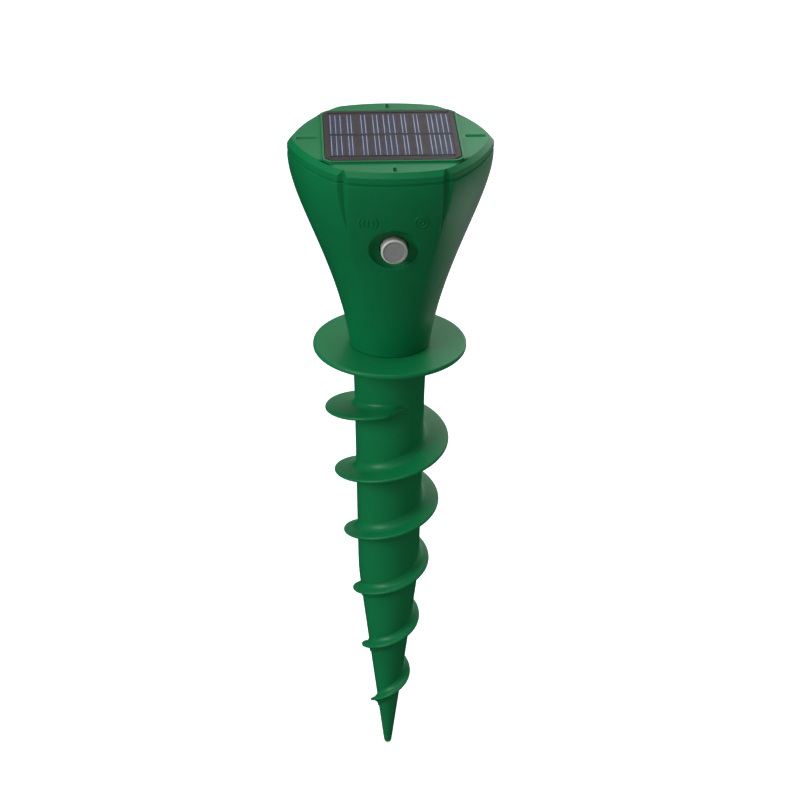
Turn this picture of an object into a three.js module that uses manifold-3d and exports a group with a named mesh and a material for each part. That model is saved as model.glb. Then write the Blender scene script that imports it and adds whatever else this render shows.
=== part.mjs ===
// Solar ultrasonic pest repeller on a screw-in ground stake.
// Millimetres, +Z up. The origin is the tip of the stake, the button faces -Y,
// and two of the head's six corners lie on the X axis.

import * as THREE from 'three';
import { mergeVertices } from 'three/addons/utils/BufferGeometryUtils.js';
import Module from 'manifold-3d';

const wasm = await Module();
wasm.setup();

// ---------- driving dimensions ----------

const clearance = {
  seat: 0.05, // between two pieces that are clamped together
  slip: 0.2, // round a piece that drops into its place
  slide: 0.3, // round a piece that moves
  thread: 0.05, // between a screw and the hole it is driven into
};

const stake = {
  length: 172.8, // tip to the flange's top face, where the head stands
  tipRadius: 1.33, // the lower cone's radius at the tip
  coneSlope: 0.124, // the lower cone's growth in radius per millimetre
  shoulderHeight: 79, // where the cone turns into the shaft
  shaftSlope: 0.0174, // the shaft's growth in radius per millimetre
  flangeRadius: 26.9,
  flangeThickness: 1.5,
  flangeFillet: 1.5, // under the flange
  boreTopRadius: 8.3, // the hollow that carries the sound down
  boreBottomRadius: 7.2,
  boreFloor: 62,
  boreTaper: 16, // height over which the hollow closes at its floor
  spigotHeight: 6.2, // above the flange, inside the neck
};

const flight = {
  pitch: 25.34,
  topDrop: 25.8, // the first full turn, below the flange's top face
  topRadius: 22.9,
  endHeight: 14, // where the flight fades out near the tip
  endRadius: 5.5,
  startAngle: -58, // degrees, where the flight leaves the shaft
  fullAngle: -180, // degrees, where it has its full radius
  startSag: 5.3, // how far the first edge lies below the even helix
  edgeThickness: 0.9,
  rootThickness: 3.2,
  rootShare: 0.35, // of its reach, where the thick root ends
  growth: 2.2, // how quickly it reaches its full radius
  sagShape: 6, // how late the sag sets in
  stepAngle: 22.5, // degrees between two sections
  fadeAngle: 100, // degrees over which the last turn fades out
  rootDepth: 1, // how deep it is sunk in the shaft
};

const head = {
  height: 71.5, // from the flange to the housing's top edge
  cornerRadius: 35, // axis to a corner at the top
  neckRadius: 14,
  neckReach: 32.03, // handle lengths of the side's curve, at the neck and the top
  shoulderReach: 16.99,
  neckLean: 0.13, // the side's slope where it leaves the flange
  flatness: 0.06, // how much nearer the middle of a side is than a corner
  roundBelow: 3.2, // heights between which the round neck turns six-sided
  flatAbove: 62.2,
  wall: 2.4,
  ledgeThickness: 2.5,
  ledgeBoreRadius: 7.6,
  neckBoreRadius: 12,
};

const groove = {
  depth: 1.7, // V grooves down four of the corners
  halfWidth: 1.9,
  run: 26, // how far it reaches below the housing's top edge
  bow: 1.6, // how far its line bows outwards
};

const cap = {
  partingGap: 0.9,
  strip: 2,
  bevelRise: 1.75,
  bevelRun: 1.55,
  rimRise: 0.75, // the frame round the solar panel
  rimWidth: 0.8,
  floor: 2, // under the panel
  skirtDepth: 3.2,
  skirtThickness: 1.5,
  sealWidth: 0.7,
  screwInset: 5.3, // from the panel's edge to a screw's axis
  bossRadius: 3,
  bossDrop: 2.2,
  postLength: 14, // of the housing's post under each of the cap's bosses
  screwDepth: 10.5, // of a cap screw in its post
  leadHoleRadius: 2.5,
  leadHoleOffset: 12,
};

const mark = { // the engraved dashes
  sideWidth: 1.9,
  frontWidth: 1,
  depth: 1,
  sideLength: 7,
  sideInset: 1.4,
  frontLength: 3.6,
};

const panel = {
  margin: 9.1, // from the edge of the cap's flat top to the panel
  cornerCut: 2.5,
  pocketDepth: 2.2, // below the frame's top, so that the glazing stands a little proud
  adhesive: 0.3,
  board: 1.6,
  cell: 0.25,
  glazing: 0.25,
  cellBorder: 1.6, // the board's bare edge round the cells
  cellGap: 0.9, // between the two rows of cells
};

const button = {
  heightBelowTop: 25, // its axis, below the housing's top edge
  radius: 4.5,
  proud: 1.8, // face, outside the wall
  rimChamfer: 0.6,
  dishDepth: 2.8,
  dishFloorRadius: 5.3,
  dishRadius: 8.2,
  dishStretch: 1.08, // the dish is a little taller than wide
  dishTilt: 18, // degrees the dish leans back at its top
  guideLength: 3.3,
  flangeRadius: 6,
  flangeThickness: 1,
  travel: 1.2,
  endRoom: 0.6, // left between flange and switch when pressed
  socketDepth: 4.4,
};

const seal = { radius: 0.42, fromFloor: 2.3 };

const toggle = { width: 8.5, depth: 7.8, stem: 3, stemInside: 3.2 };

const board = { front: 9.7, width: 22, height: 48, thickness: 1.6, bottomLift: 3.2 };

const cell = { radius: 5.25, length: 43.7, nubRadius: 1.9, nubHeight: 0.8 };

const holder = {
  wall: 1.4,
  foot: 1.5,
  postLength: 3.2, // from the front wall to the board
  postRadius: 1.8,
  springRoom: 3.5,
  contact: 0.4,
  sideReach: 4, // side walls, behind the cell's axis
  roof: 1.5,
};

const speaker = {
  radius: 11,
  rimHeight: 2,
  height: 6.1,
  cupRadius: 8.4,
  gasket: 0.5,
  pocketDepth: 7, // from the ledge to the shelf that carries the battery holder
};

const screw = {
  small: { shank: 0.9, head: 1.7, headHeight: 1.1 },
  medium: { shank: 1.15, head: 2.2, headHeight: 1.3 },
};

const lead = { radius: 0.55, spacing: 1.5 };

const oRing = { radius: 0.5, height: 1.4 }; // of the neck, above the flange

const segments = { body: 36, shaft: 20, round: 14, small: 8 };

// ---------- sizes that follow ----------

const housingTop = stake.length + head.height;
const capBottom = housingTop + cap.partingGap;
const stripTop = capBottom + cap.strip;
const capTop = stripTop + cap.bevelRise;
const rimTop = capTop + cap.rimRise;
const pocketFloor = rimTop - panel.pocketDepth;
const capUnderside = pocketFloor - cap.floor;
const flatTopRadius = head.cornerRadius - cap.bevelRun;
const panelHalf = flatTopRadius * (1 - head.flatness) - panel.margin;
const skirtBottom = capBottom - cap.skirtDepth;
const skirtOut = headRadius(skirtBottom) - head.wall - clearance.slide;
const skirtIn = skirtOut - cap.skirtThickness;
const bossReach = skirtIn * (1 - head.flatness) - cap.bossRadius - clearance.slide;
const capScrewOffset = Math.min(panelHalf - cap.screwInset, bossReach / Math.SQRT2);

const spigotRadius = head.neckBoreRadius - clearance.slip;
const spigotTop = stake.length + stake.spigotHeight;
const ledgeBottom = spigotTop + clearance.slide;
const ledgeTop = ledgeBottom + head.ledgeThickness;
const shelf = ledgeTop + speaker.pocketDepth;
const stakeScrewCircle = (spigotRadius + stake.boreTopRadius) / 2;
const stakeScrewSeat = ledgeTop - screw.small.headHeight - clearance.slip;

const buttonHeight = housingTop - button.heightBelowTop;
const wallFront = headRadius(buttonHeight) * flatShare(buttonHeight);
const dishFloor = wallFront - button.dishDepth;
const guideEnd = dishFloor - button.guideLength;
const flangeFront = guideEnd - clearance.slip;
const flangeBack = flangeFront - button.flangeThickness;
const pressedRoom = flangeBack - button.travel - button.endRoom - toggle.depth;
const boardFront = Math.min(board.front, pressedRoom);
const switchFront = boardFront + toggle.depth;
const boardBack = boardFront - board.thickness;
const boardBottom = shelf + board.bottomLift;
const boardTop = boardBottom + board.height;

const cellPocket = cell.radius + clearance.slide;
const holderFront = boardBack - clearance.seat - holder.postLength;
const cellY = -holderFront + holder.wall + cellPocket;
const cellFloor = shelf + clearance.seat + holder.foot;
const cellBottom = cellFloor + holder.contact + holder.springRoom;
const cellTop = cellBottom + cell.length + cell.nubHeight;
const holderTop = cellTop + holder.contact + 2 * clearance.seat + holder.roof;

// ---------- materials ----------

function material(color, roughness, metalness = 0, extra = {}) {
  return new THREE.MeshStandardMaterial({ color, roughness, metalness, ...extra });
}

const green = material(0x16633c, 0.42);
const grey = material(0x777b78, 0.45);
const rubber = material(0x1d1f1e, 0.8);
const steel = material(0xb9bcc0, 0.3, 1);
const magnetic = material(0x54565a, 0.4, 1);
const boardGreen = material(0x1f6a46, 0.5);
const blackPlastic = material(0x242527, 0.5);
const silicon = material(0x3c4354, 0.25, 0.2);
const resin = material(0x8f949a, 0.15, 0, { transparent: true, opacity: 0.35 });
const foam = material(0xe6e4dc, 0.9);
const paperCone = material(0x33322f, 0.9);
const copper = material(0xb56a3c, 0.35, 1);
const cellGreen = material(0x4d8f3b, 0.4);
const redLead = material(0xa52a22, 0.5);
const blackLead = material(0x222222, 0.5);
const whitePlastic = material(0xe2e0d8, 0.5);

// ---------- solids ----------

// A solid of revolution about Z, from [radius, height] points that run anticlockwise.
function turned(outline, count = segments.round) {
  const points = outline.map(([radius, height]) => new THREE.Vector2(radius, height));
  return new THREE.LatheGeometry(points, count).rotateX(Math.PI / 2);
}

function rod(radius, bottom, top, count = segments.round) {
  return turned([[0, bottom], [radius, bottom], [radius, top], [0, top]], count);
}

function tube(inner, outer, bottom, top, count = segments.round) {
  const corners = [[inner, bottom], [outer, bottom], [outer, top], [inner, top], [inner, bottom]];
  return turned(corners, count);
}

// A ring of round section.
function ring(radius, section, height, count = segments.shaft) {
  const outline = [];
  for (let i = 0; i <= 6; i++) {
    const turn = (i / 6) * 2 * Math.PI;
    outline.push([radius + section * Math.cos(turn), height + section * Math.sin(turn)]);
  }
  return turned(outline, count);
}

// A box from its lowest to its highest corner.
function block(low, high) {
  const size = high.map((value, axis) => value - low[axis]);
  const middle = high.map((value, axis) => (value + low[axis]) / 2);
  return new THREE.BoxGeometry(...size).translate(...middle);
}

// A square plate with its corners cut off.
function cornerCutPlate(half, cut, bottom, top) {
  const inner = half - cut;
  const shape = new THREE.Shape();
  shape.moveTo(-inner, -half).lineTo(inner, -half).lineTo(half, -inner).lineTo(half, inner);
  shape.lineTo(inner, half).lineTo(-inner, half).lineTo(-half, inner).lineTo(-half, -inner);
  const plate = new THREE.ExtrudeGeometry(shape, { depth: top - bottom, bevelEnabled: false });
  return plate.translate(0, 0, bottom);
}

// Turns a solid made about +Z so that it points along -Y.
function facingFront(geometry) {
  return geometry.rotateX(Math.PI / 2);
}

function toSolid(geometry) {
  const plain = new THREE.BufferGeometry();
  plain.setAttribute('position', geometry.getAttribute('position'));
  plain.setIndex(geometry.index);
  const merged = mergeVertices(plain, 1e-4);
  return new wasm.Manifold(new wasm.Mesh({
    numProp: 3,
    vertProperties: merged.attributes.position.array,
    triVerts: new Uint32Array(merged.index.array),
  }));
}

function toGeometry(solid) {
  const mesh = solid.getMesh();
  const geometry = new THREE.BufferGeometry();
  geometry.setAttribute('position', new THREE.BufferAttribute(mesh.vertProperties, 3));
  geometry.setIndex(new THREE.BufferAttribute(mesh.triVerts, 1));
  return geometry;
}

function join(first, ...others) {
  return toGeometry(others.reduce((sum, next) => sum.add(toSolid(next)), toSolid(first)));
}

function cut(first, ...tools) {
  return toGeometry(tools.reduce((rest, tool) => rest.subtract(toSolid(tool)), toSolid(first)));
}

function common(first, second) {
  return toGeometry(toSolid(first).intersect(toSolid(second)));
}

const root = new THREE.Group();

function add(name, geometry, look, parent = root) {
  const mesh = new THREE.Mesh(geometry, look);
  mesh.name = name;
  parent.add(mesh);
  return mesh;
}

function group(x, y, z, parent = root) {
  const holderGroup = new THREE.Group();
  holderGroup.position.set(x, y, z);
  parent.add(holderGroup);
  return holderGroup;
}

// A headed screw standing point down, with the underside of its head at z = 0.
function screwShape({ shank, head: headRadiusOf, headHeight }, length) {
  const drive = headRadiusOf * 0.45;
  const depth = headHeight * 0.6;
  return turned([
    [0, -length], [shank, -length + shank], [shank, 0], [headRadiusOf, 0],
    [headRadiusOf, headHeight * 0.7], [headRadiusOf * 0.8, headHeight],
    [drive, headHeight], [drive, headHeight - depth], [0, headHeight - depth],
  ], segments.small);
}

// ---------- the head's outer form ----------

// The side's curve, as radius over height above the flange.
function sideCurve() {
  const { height, cornerRadius, neckRadius, neckReach, shoulderReach, neckLean } = head;
  return new THREE.CubicBezierCurve(
    new THREE.Vector2(neckRadius, 0),
    new THREE.Vector2(neckRadius + neckLean * neckReach, neckReach),
    new THREE.Vector2(cornerRadius, height - shoulderReach),
    new THREE.Vector2(cornerRadius, height),
  );
}

// The head's corner radius at a height, found on the curve by halving.
function headRadius(z) {
  const curve = sideCurve();
  let low = 0;
  let high = 1;
  for (let i = 0; i < 30; i++) {
    const middle = (low + high) / 2;
    if (curve.getPoint(middle).y + stake.length < z) low = middle;
    else high = middle;
  }
  return curve.getPoint(low).x;
}

// How near the middle of a side is, as a share of the corner radius.
function flatShare(z) {
  const above = z - stake.length;
  return 1 - head.flatness * THREE.MathUtils.smoothstep(above, head.roundBelow, head.flatAbove);
}

// Each side is an arc between two corners: the arc's centre lies beyond the axis.
function planShare(angle, z) {
  const flat = flatShare(z);
  const sixth = Math.PI / 3;
  const fromMiddle = angle - sixth / 2 - sixth * Math.round((angle - sixth / 2) / sixth);
  const offset = (flat ** 2 - 1) / (2 * (Math.cos(sixth / 2) - flat));
  const arc = flat + offset;
  return Math.sqrt(arc ** 2 - (offset * Math.sin(fromMiddle)) ** 2) - offset * Math.cos(fromMiddle);
}

// Presses a turned solid into the head's six-sided plan.
function sixSided(geometry) {
  const place = geometry.getAttribute('position');
  for (let i = 0; i < place.count; i++) {
    const [x, y] = [place.getX(i), place.getY(i)];
    const share = planShare(Math.atan2(y, x), place.getZ(i));
    place.setXY(i, x * share, y * share);
  }
  return geometry;
}

// One V groove, swept down a corner line from above the cap.
function cornerGroove(angle) {
  const bottom = housingTop - groove.run;
  const over = rimTop + 1;
  const low = headRadius(bottom);
  const high = head.cornerRadius - groove.depth;
  const middle = new THREE.Vector3(high + groove.bow / 3, 0, (bottom + housingTop) / 2);
  const path = new THREE.QuadraticBezierCurve3(
    new THREE.Vector3(low, 0, bottom), middle, new THREE.Vector3(high, 0, over),
  );
  const reach = 2.5 * groove.depth;
  const spread = (groove.halfWidth / groove.depth) * reach;
  const section = new THREE.Shape();
  section.moveTo(0, 0).lineTo(spread, reach).lineTo(-spread, reach);
  const course = { extrudePath: path, steps: 6, bevelEnabled: false };
  return new THREE.ExtrudeGeometry(section, course).rotateZ(angle);
}

const groovedCorners = [60, 120, 240, 300].map(THREE.MathUtils.degToRad);

function capScrewPlaces() {
  const out = capScrewOffset;
  return [[-out, -out], [out, -out], [out, out], [-out, out]];
}

function stakeScrewPlaces() {
  return [90, 210, 330].map((degrees) => {
    const angle = THREE.MathUtils.degToRad(degrees);
    return [stakeScrewCircle * Math.cos(angle), stakeScrewCircle * Math.sin(angle)];
  });
}

// ---------- ground stake: flange, hollow shaft and screw flight in one moulding ----------

function shaftRadius(z) {
  const cone = stake.tipRadius + stake.coneSlope * z;
  const shoulder = stake.tipRadius + stake.coneSlope * stake.shoulderHeight;
  return z < stake.shoulderHeight ? cone : shoulder + stake.shaftSlope * (z - stake.shoulderHeight);
}

function shaftSolid() {
  const underFlange = stake.length - stake.flangeThickness;
  const fillet = stake.flangeFillet;
  const edge = stake.flangeThickness * 0.3;
  const tip = stake.tipRadius;
  return turned([
    [0, 0], [tip * 0.6, tip * 0.15], [tip, tip * 0.6], [shaftRadius(tip * 1.6), tip * 1.6],
    [shaftRadius(stake.shoulderHeight), stake.shoulderHeight],
    [shaftRadius(underFlange - 2 * fillet), underFlange - 2 * fillet],
    [shaftRadius(underFlange) + fillet * 0.25, underFlange - fillet * 0.6],
    [shaftRadius(underFlange) + fillet, underFlange],
    [stake.flangeRadius - edge, underFlange], [stake.flangeRadius, underFlange + edge],
    [stake.flangeRadius, stake.length - edge], [stake.flangeRadius - edge, stake.length],
    [spigotRadius, stake.length], [spigotRadius, spigotTop], [0, spigotTop],
  ], segments.shaft);
}

// The flight's outer edge: its radius grows from the shaft, then shrinks towards the tip.
function flightRadius(angle, endAngle, z) {
  const top = stake.length - flight.topDrop;
  const full = THREE.MathUtils.mapLinear(z, flight.endHeight, top, flight.endRadius, flight.topRadius);
  const grown = Math.min(1, (flight.startAngle - angle) / (flight.startAngle - flight.fullAngle));
  const faded = Math.min(1, (angle - endAngle) / flight.fadeAngle);
  const share = (1 - (1 - grown) ** flight.growth) * faded;
  const shaft = shaftRadius(z);
  return shaft + 0.15 + (Math.min(full, flight.topRadius) - shaft) * share;
}

function flightHeight(angle) {
  const top = stake.length - flight.topDrop;
  const even = top + (flight.pitch * (angle - flight.fullAngle)) / 360;
  const start = (angle - flight.fullAngle) / (flight.startAngle - flight.fullAngle);
  return even - flight.startSag * Math.max(0, start) ** flight.sagShape;
}

// The flight is a straight extrusion of its section, wound round the shaft.
function flightSolid() {
  const drop = stake.length - flight.topDrop - flight.endHeight;
  const endAngle = flight.fullAngle - (360 * drop) / flight.pitch;
  const steps = Math.round((flight.startAngle - endAngle) / flight.stepAngle);
  const [edge, root] = [flight.edgeThickness / 2, flight.rootThickness / 2];
  const section = new THREE.Shape();
  section.moveTo(0, -root).lineTo(flight.rootShare, -edge * 1.4).lineTo(1, -edge);
  section.lineTo(1, edge).lineTo(flight.rootShare, edge * 1.4).lineTo(0, root);
  const wound = new THREE.ExtrudeGeometry(section, { depth: 1, steps, bevelEnabled: false });
  const place = wound.getAttribute('position');
  for (let i = 0; i < place.count; i++) {
    const angle = THREE.MathUtils.lerp(flight.startAngle, endAngle, place.getZ(i));
    const height = flightHeight(angle);
    const inner = shaftRadius(height) - flight.rootDepth;
    const outer = flightRadius(angle, endAngle, height);
    const radius = THREE.MathUtils.lerp(inner, outer, place.getX(i));
    const turn = THREE.MathUtils.degToRad(angle);
    place.setXYZ(i, radius * Math.cos(turn), radius * Math.sin(turn), height + place.getY(i));
  }
  return wound;
}

function stakeBore() {
  const { boreFloor, boreTaper, boreTopRadius, boreBottomRadius } = stake;
  return turned([
    [0, boreFloor], [boreBottomRadius * 0.6, boreFloor], [boreBottomRadius, boreFloor + boreTaper],
    [boreTopRadius, stake.length], [boreTopRadius, spigotTop + 1], [0, spigotTop + 1],
  ]);
}

function oRingPlace() {
  return { radius: head.neckBoreRadius - clearance.seat - oRing.radius, height: stake.length + oRing.height };
}

function buildStake() {
  const place = oRingPlace();
  const room = oRing.radius + clearance.seat;
  const [seatLow, seatHigh] = [place.height - room, place.height + room];
  const seat = tube(place.radius - room, spigotRadius + 1, seatLow, seatHigh, segments.shaft);
  const pilot = screw.small.shank + clearance.thread;
  const holes = stakeScrewPlaces().map(([x, y]) => (
    rod(pilot, seatHigh + 0.8, spigotTop + 1, segments.small).translate(x, y, 0)
  ));
  const body = cut(join(shaftSolid(), flightSolid()), stakeBore(), seat, ...holes);
  add('ground_stake', body, green);
  add('neck_o_ring', ring(place.radius, oRing.radius, place.height), rubber);

  const length = stakeScrewSeat - (seatHigh + 1.1);
  stakeScrewPlaces().forEach(([x, y], i) => {
    const shape = screwShape(screw.small, length);
    add(`stake_screw_${i + 1}`, shape, steel).position.set(x, y, stakeScrewSeat + clearance.seat);
  });
}

// ---------- housing ----------

function housingOuter() {
  const bottom = stake.length + clearance.seat;
  const side = sideCurve().getPoints(9).map(({ x, y }) => [x, y + bottom]);
  return sixSided(turned([[0, side[0][1]], ...side, [0, side[side.length - 1][1]]], segments.body));
}

function housingInner() {
  const start = headRadius(shelf) - head.wall;
  const side = sideCurve().getPoints(8)
    .map(({ x, y }) => [x - head.wall, y + stake.length])
    .filter(([radius, z]) => z > shelf + 2 && radius > start);
  const over = side[side.length - 1][0];
  return sixSided(turned([
    [0, shelf], [start, shelf], ...side, [over, housingTop + 2], [0, housingTop + 2],
  ], segments.body));
}

function neckBores() {
  return turned([
    [0, stake.length - 1], [head.neckBoreRadius, stake.length - 1], [head.neckBoreRadius, ledgeBottom],
    [head.ledgeBoreRadius, ledgeBottom], [head.ledgeBoreRadius, ledgeTop],
    [speaker.radius + clearance.slip, ledgeTop], [speaker.radius + clearance.slip, shelf + 1],
    [0, shelf + 1],
  ], segments.shaft);
}

// The hollow round the button: a flat floor that curves up to the wall's surface, turned about the
// middle of the floor so that the hollow opens upwards.
function buttonDish() {
  const { dishFloorRadius: flat, dishRadius: wide, dishDepth } = button;
  const bowl = turned([
    [0, dishFloor], [flat, dishFloor],
    [flat + (wide - flat) * 0.55, dishFloor + dishDepth * 0.18],
    [flat + (wide - flat) * 0.9, dishFloor + dishDepth * 0.6],
    [wide, dishFloor + dishDepth * 1.2], [wide, head.cornerRadius + 2], [0, head.cornerRadius + 2],
  ], segments.shaft);
  const stretched = facingFront(bowl.translate(0, 0, -dishFloor)).scale(1, 1, button.dishStretch);
  const lean = THREE.MathUtils.degToRad(button.dishTilt);
  return stretched.rotateX(lean).translate(0, -dishFloor, buttonHeight);
}

// A post with a web out to the wall, for a cap screw.
function capBoss([x, y]) {
  const top = capUnderside - cap.bossDrop - clearance.seat;
  const bottom = top - cap.postLength;
  const length = head.cornerRadius - Math.hypot(x, y);
  const web = block([0, -1, bottom + 2], [length, 1, skirtBottom - clearance.slide]);
  web.rotateZ(Math.atan2(y, x)).translate(x, y, 0);
  return join(rod(cap.bossRadius, bottom, top, segments.round).translate(x, y, 0), web);
}

function holderScrewPlaces() {
  const out = speaker.radius + clearance.slip + screw.small.head - 0.2;
  return [[-out, 0], [out, 0]];
}

function buildHousing() {
  const outer = housingOuter();
  const bosses = capScrewPlaces().map((place) => common(capBoss(place), outer));
  const pad = rod(button.flangeRadius + 2, guideEnd, head.cornerRadius, segments.shaft);
  const guide = common(facingFront(pad).translate(0, 0, buttonHeight), outer);
  let shell = cut(outer, housingInner());
  shell = join(shell, guide, ...bosses);
  const bore = rod(button.radius + clearance.slide, guideEnd - 1, head.cornerRadius, segments.shaft);
  const pilotLow = capUnderside - cap.bossDrop - cap.screwDepth - 0.5;
  const capPilots = capScrewPlaces().map(([x, y]) => (
    rod(screw.medium.shank + clearance.thread, pilotLow, housingTop, segments.small).translate(x, y, 0)
  ));
  const holderPilots = holderScrewPlaces().map(([x, y]) => (
    rod(screw.small.shank + clearance.thread, shelf - 4.6, shelf + 1, segments.small).translate(x, y, 0)
  ));
  const ledgeHoles = stakeScrewPlaces().map(([x, y]) => join(
    rod(screw.small.shank + clearance.slip, ledgeBottom - 1, ledgeTop, segments.small),
    rod(screw.small.head + clearance.slip, stakeScrewSeat, ledgeTop + 1),
  ).translate(x, y, 0));
  shell = cut(
    shell, neckBores(), buttonDish(), facingFront(bore).translate(0, 0, buttonHeight),
    ...groovedCorners.map(cornerGroove), ...capPilots, ...holderPilots, ...ledgeHoles,
  );
  add('housing_shell', shell, green);
}

// ---------- top cap and its seal ----------

function capPlate() {
  return sixSided(turned([
    [0, capUnderside], [skirtIn, capUnderside], [skirtIn, skirtBottom], [skirtOut, skirtBottom],
    [skirtOut, capBottom], [head.cornerRadius, capBottom], [head.cornerRadius, stripTop],
    [flatTopRadius, capTop], [0, capTop],
  ], segments.body));
}

// Short engraved dashes in the middle of the cap's four margins.
function capMarks() {
  const rimOut = panelHalf + clearance.slip + cap.rimWidth;
  const sideEnd = flatTopRadius - mark.sideInset;
  const frontEnd = flatTopRadius * (1 - head.flatness) - mark.sideInset / 2;
  const frontStart = Math.max(rimOut, frontEnd - mark.frontLength);
  const [across, along] = [mark.sideWidth / 2, mark.frontWidth / 2];
  const low = capTop - mark.depth;
  const side = [[sideEnd - mark.sideLength, -across, low], [sideEnd, across, capTop + 1]];
  const front = [[-along, frontStart, low], [along, frontEnd, capTop + 1]];
  return [
    block(...side), block(...side).rotateZ(Math.PI), block(...front), block(...front).rotateZ(Math.PI),
  ];
}

function buildCap() {
  const pocket = panelHalf + clearance.slip;
  const rimOut = pocket + cap.rimWidth;
  const rim = cornerCutPlate(rimOut, panel.cornerCut, capTop - 0.5, rimTop);
  const well = cornerCutPlate(pocket, panel.cornerCut, pocketFloor, rimTop + 1);
  const bossBottom = capUnderside - cap.bossDrop;
  const bosses = capScrewPlaces().map(([x, y]) => (
    rod(cap.bossRadius, bossBottom, capUnderside + 0.5, segments.round).translate(x, y, 0)
  ));
  const headSeat = pocketFloor - screw.medium.headHeight - clearance.slip;
  const holes = capScrewPlaces().map(([x, y]) => join(
    rod(screw.medium.shank + clearance.slip, bossBottom - 1, pocketFloor, segments.small),
    rod(screw.medium.head + clearance.slip, headSeat, pocketFloor + 1, segments.small),
  ).translate(x, y, 0));
  const leadHole = rod(cap.leadHoleRadius, capUnderside - 1, pocketFloor + 1, segments.small);
  const shape = cut(
    join(capPlate(), rim, ...bosses), well, leadHole.translate(0, cap.leadHoleOffset, 0),
    ...holes, ...capMarks(), ...groovedCorners.map(cornerGroove),
  );
  add('top_cap', shape, green);

  const length = headSeat - (capUnderside - cap.bossDrop - cap.screwDepth);
  capScrewPlaces().forEach(([x, y], i) => {
    const at = headSeat + clearance.seat;
    add(`cap_screw_${i + 1}`, screwShape(screw.medium, length), steel).position.set(x, y, at);
  });

  const sealOut = head.cornerRadius - groove.depth - clearance.slip;
  const [low, high] = [housingTop + 2 * clearance.seat, capBottom - clearance.seat];
  add('cap_seal', sixSided(tube(sealOut - cap.sealWidth, sealOut, low, high, segments.body)), rubber);
}

// ---------- solar panel ----------

function buildPanel() {
  const cutCorner = panel.cornerCut;
  const floor = group(0, 0, pocketFloor + clearance.seat);
  const adhesive = cornerCutPlate(panelHalf - 1, cutCorner, 0, panel.adhesive - clearance.seat);
  const leadHole = rod(cap.leadHoleRadius, -1, panel.adhesive + 1, segments.small);
  add('panel_adhesive', cut(adhesive, leadHole.translate(0, cap.leadHoleOffset, 0)), foam, floor);

  const boardTopZ = panel.adhesive + panel.board + panel.cell;
  const half = panelHalf - panel.cellBorder;
  const rowDepth = half - panel.cellGap / 2;
  const rowPlace = [-1, 1].map((side) => side * (panel.cellGap / 2 + rowDepth / 2));
  const wells = rowPlace.map((y) => (
    new THREE.BoxGeometry(2 * half, rowDepth, 2 * panel.cell).translate(0, y, boardTopZ)
  ));
  const carrier = cornerCutPlate(panelHalf, cutCorner, panel.adhesive, boardTopZ);
  add('panel_board', cut(carrier, ...wells), blackPlastic, floor);

  const inset = 2 * clearance.slip;
  ['front', 'rear'].forEach((name, i) => {
    const sheet = new THREE.BoxGeometry(2 * half - inset, rowDepth - inset, panel.cell - clearance.seat);
    add(`solar_cells_${name}`, sheet, silicon, floor)
      .position.set(0, rowPlace[i], boardTopZ - panel.cell / 2 + clearance.seat / 4);
  });

  const low = boardTopZ + clearance.seat;
  add('panel_glazing', cornerCutPlate(panelHalf, cutCorner, low, low + panel.glazing), resin, floor);
}

// ---------- push button and its switch ----------

function buildButton() {
  const face = wallFront + button.proud;
  const { radius, rimChamfer, flangeRadius } = button;
  const ringAt = dishFloor - seal.fromFloor;
  const seatRadius = radius + clearance.slide - clearance.seat - 2 * seal.radius;
  const room = seal.radius + clearance.seat;
  const outline = [
    [0, flangeBack], [flangeRadius, flangeBack], [flangeRadius, flangeFront], [radius, flangeFront],
    [radius, ringAt - room], [seatRadius - clearance.seat, ringAt - room],
    [seatRadius - clearance.seat, ringAt + room], [radius, ringAt + room],
    [radius, face - rimChamfer], [radius - rimChamfer, face], [radius - 2 * rimChamfer, face],
    [radius - 2.4 * rimChamfer, face - 0.2], [0, face - 0.2],
  ];
  const socket = toggle.stem / 2 + clearance.slip / 2;
  const socketEnd = flangeBack + button.socketDepth;
  const hole = block([-socket, -socket, flangeBack - 1], [socket, socket, socketEnd]);
  const place = group(0, 0, buttonHeight);
  add('push_button', facingFront(cut(turned(outline, segments.shaft), hole)), grey, place);
  add('button_seal', facingFront(ring(seatRadius + seal.radius, seal.radius, ringAt)), rubber, place);

  const stemHalf = toggle.stem / 2;
  const stemBack = switchFront - toggle.stemInside;
  const stemEnd = socketEnd - clearance.slip;
  const stem = block([-stemHalf, -stemHalf, stemBack], [stemHalf, stemHalf, stemEnd]);
  add('switch_plunger', facingFront(stem), whitePlastic, place);

  const half = toggle.width / 2;
  const well = stemHalf + clearance.slide;
  const box = cut(
    block([-half, -half, boardFront + clearance.seat], [half, half, switchFront]),
    block([-well, -well, stemBack - button.travel - 0.6], [well, well, switchFront + 1]),
  );
  add('latching_switch', facingFront(box), blackPlastic, place);
}

// ---------- control board ----------

function boardScrewPlaces() {
  const out = holder.wall + cellPocket - holder.postRadius - 0.2;
  return [[-out, boardBottom + 10], [out, boardTop - 11]];
}

// A small part that stands on the board's front face.
function onBoard(name, x, z, [width, height, depth], look) {
  const shape = new THREE.BoxGeometry(width, depth, height);
  add(name, shape, look).position.set(x, -boardFront - depth / 2 - clearance.seat, z);
}

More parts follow.
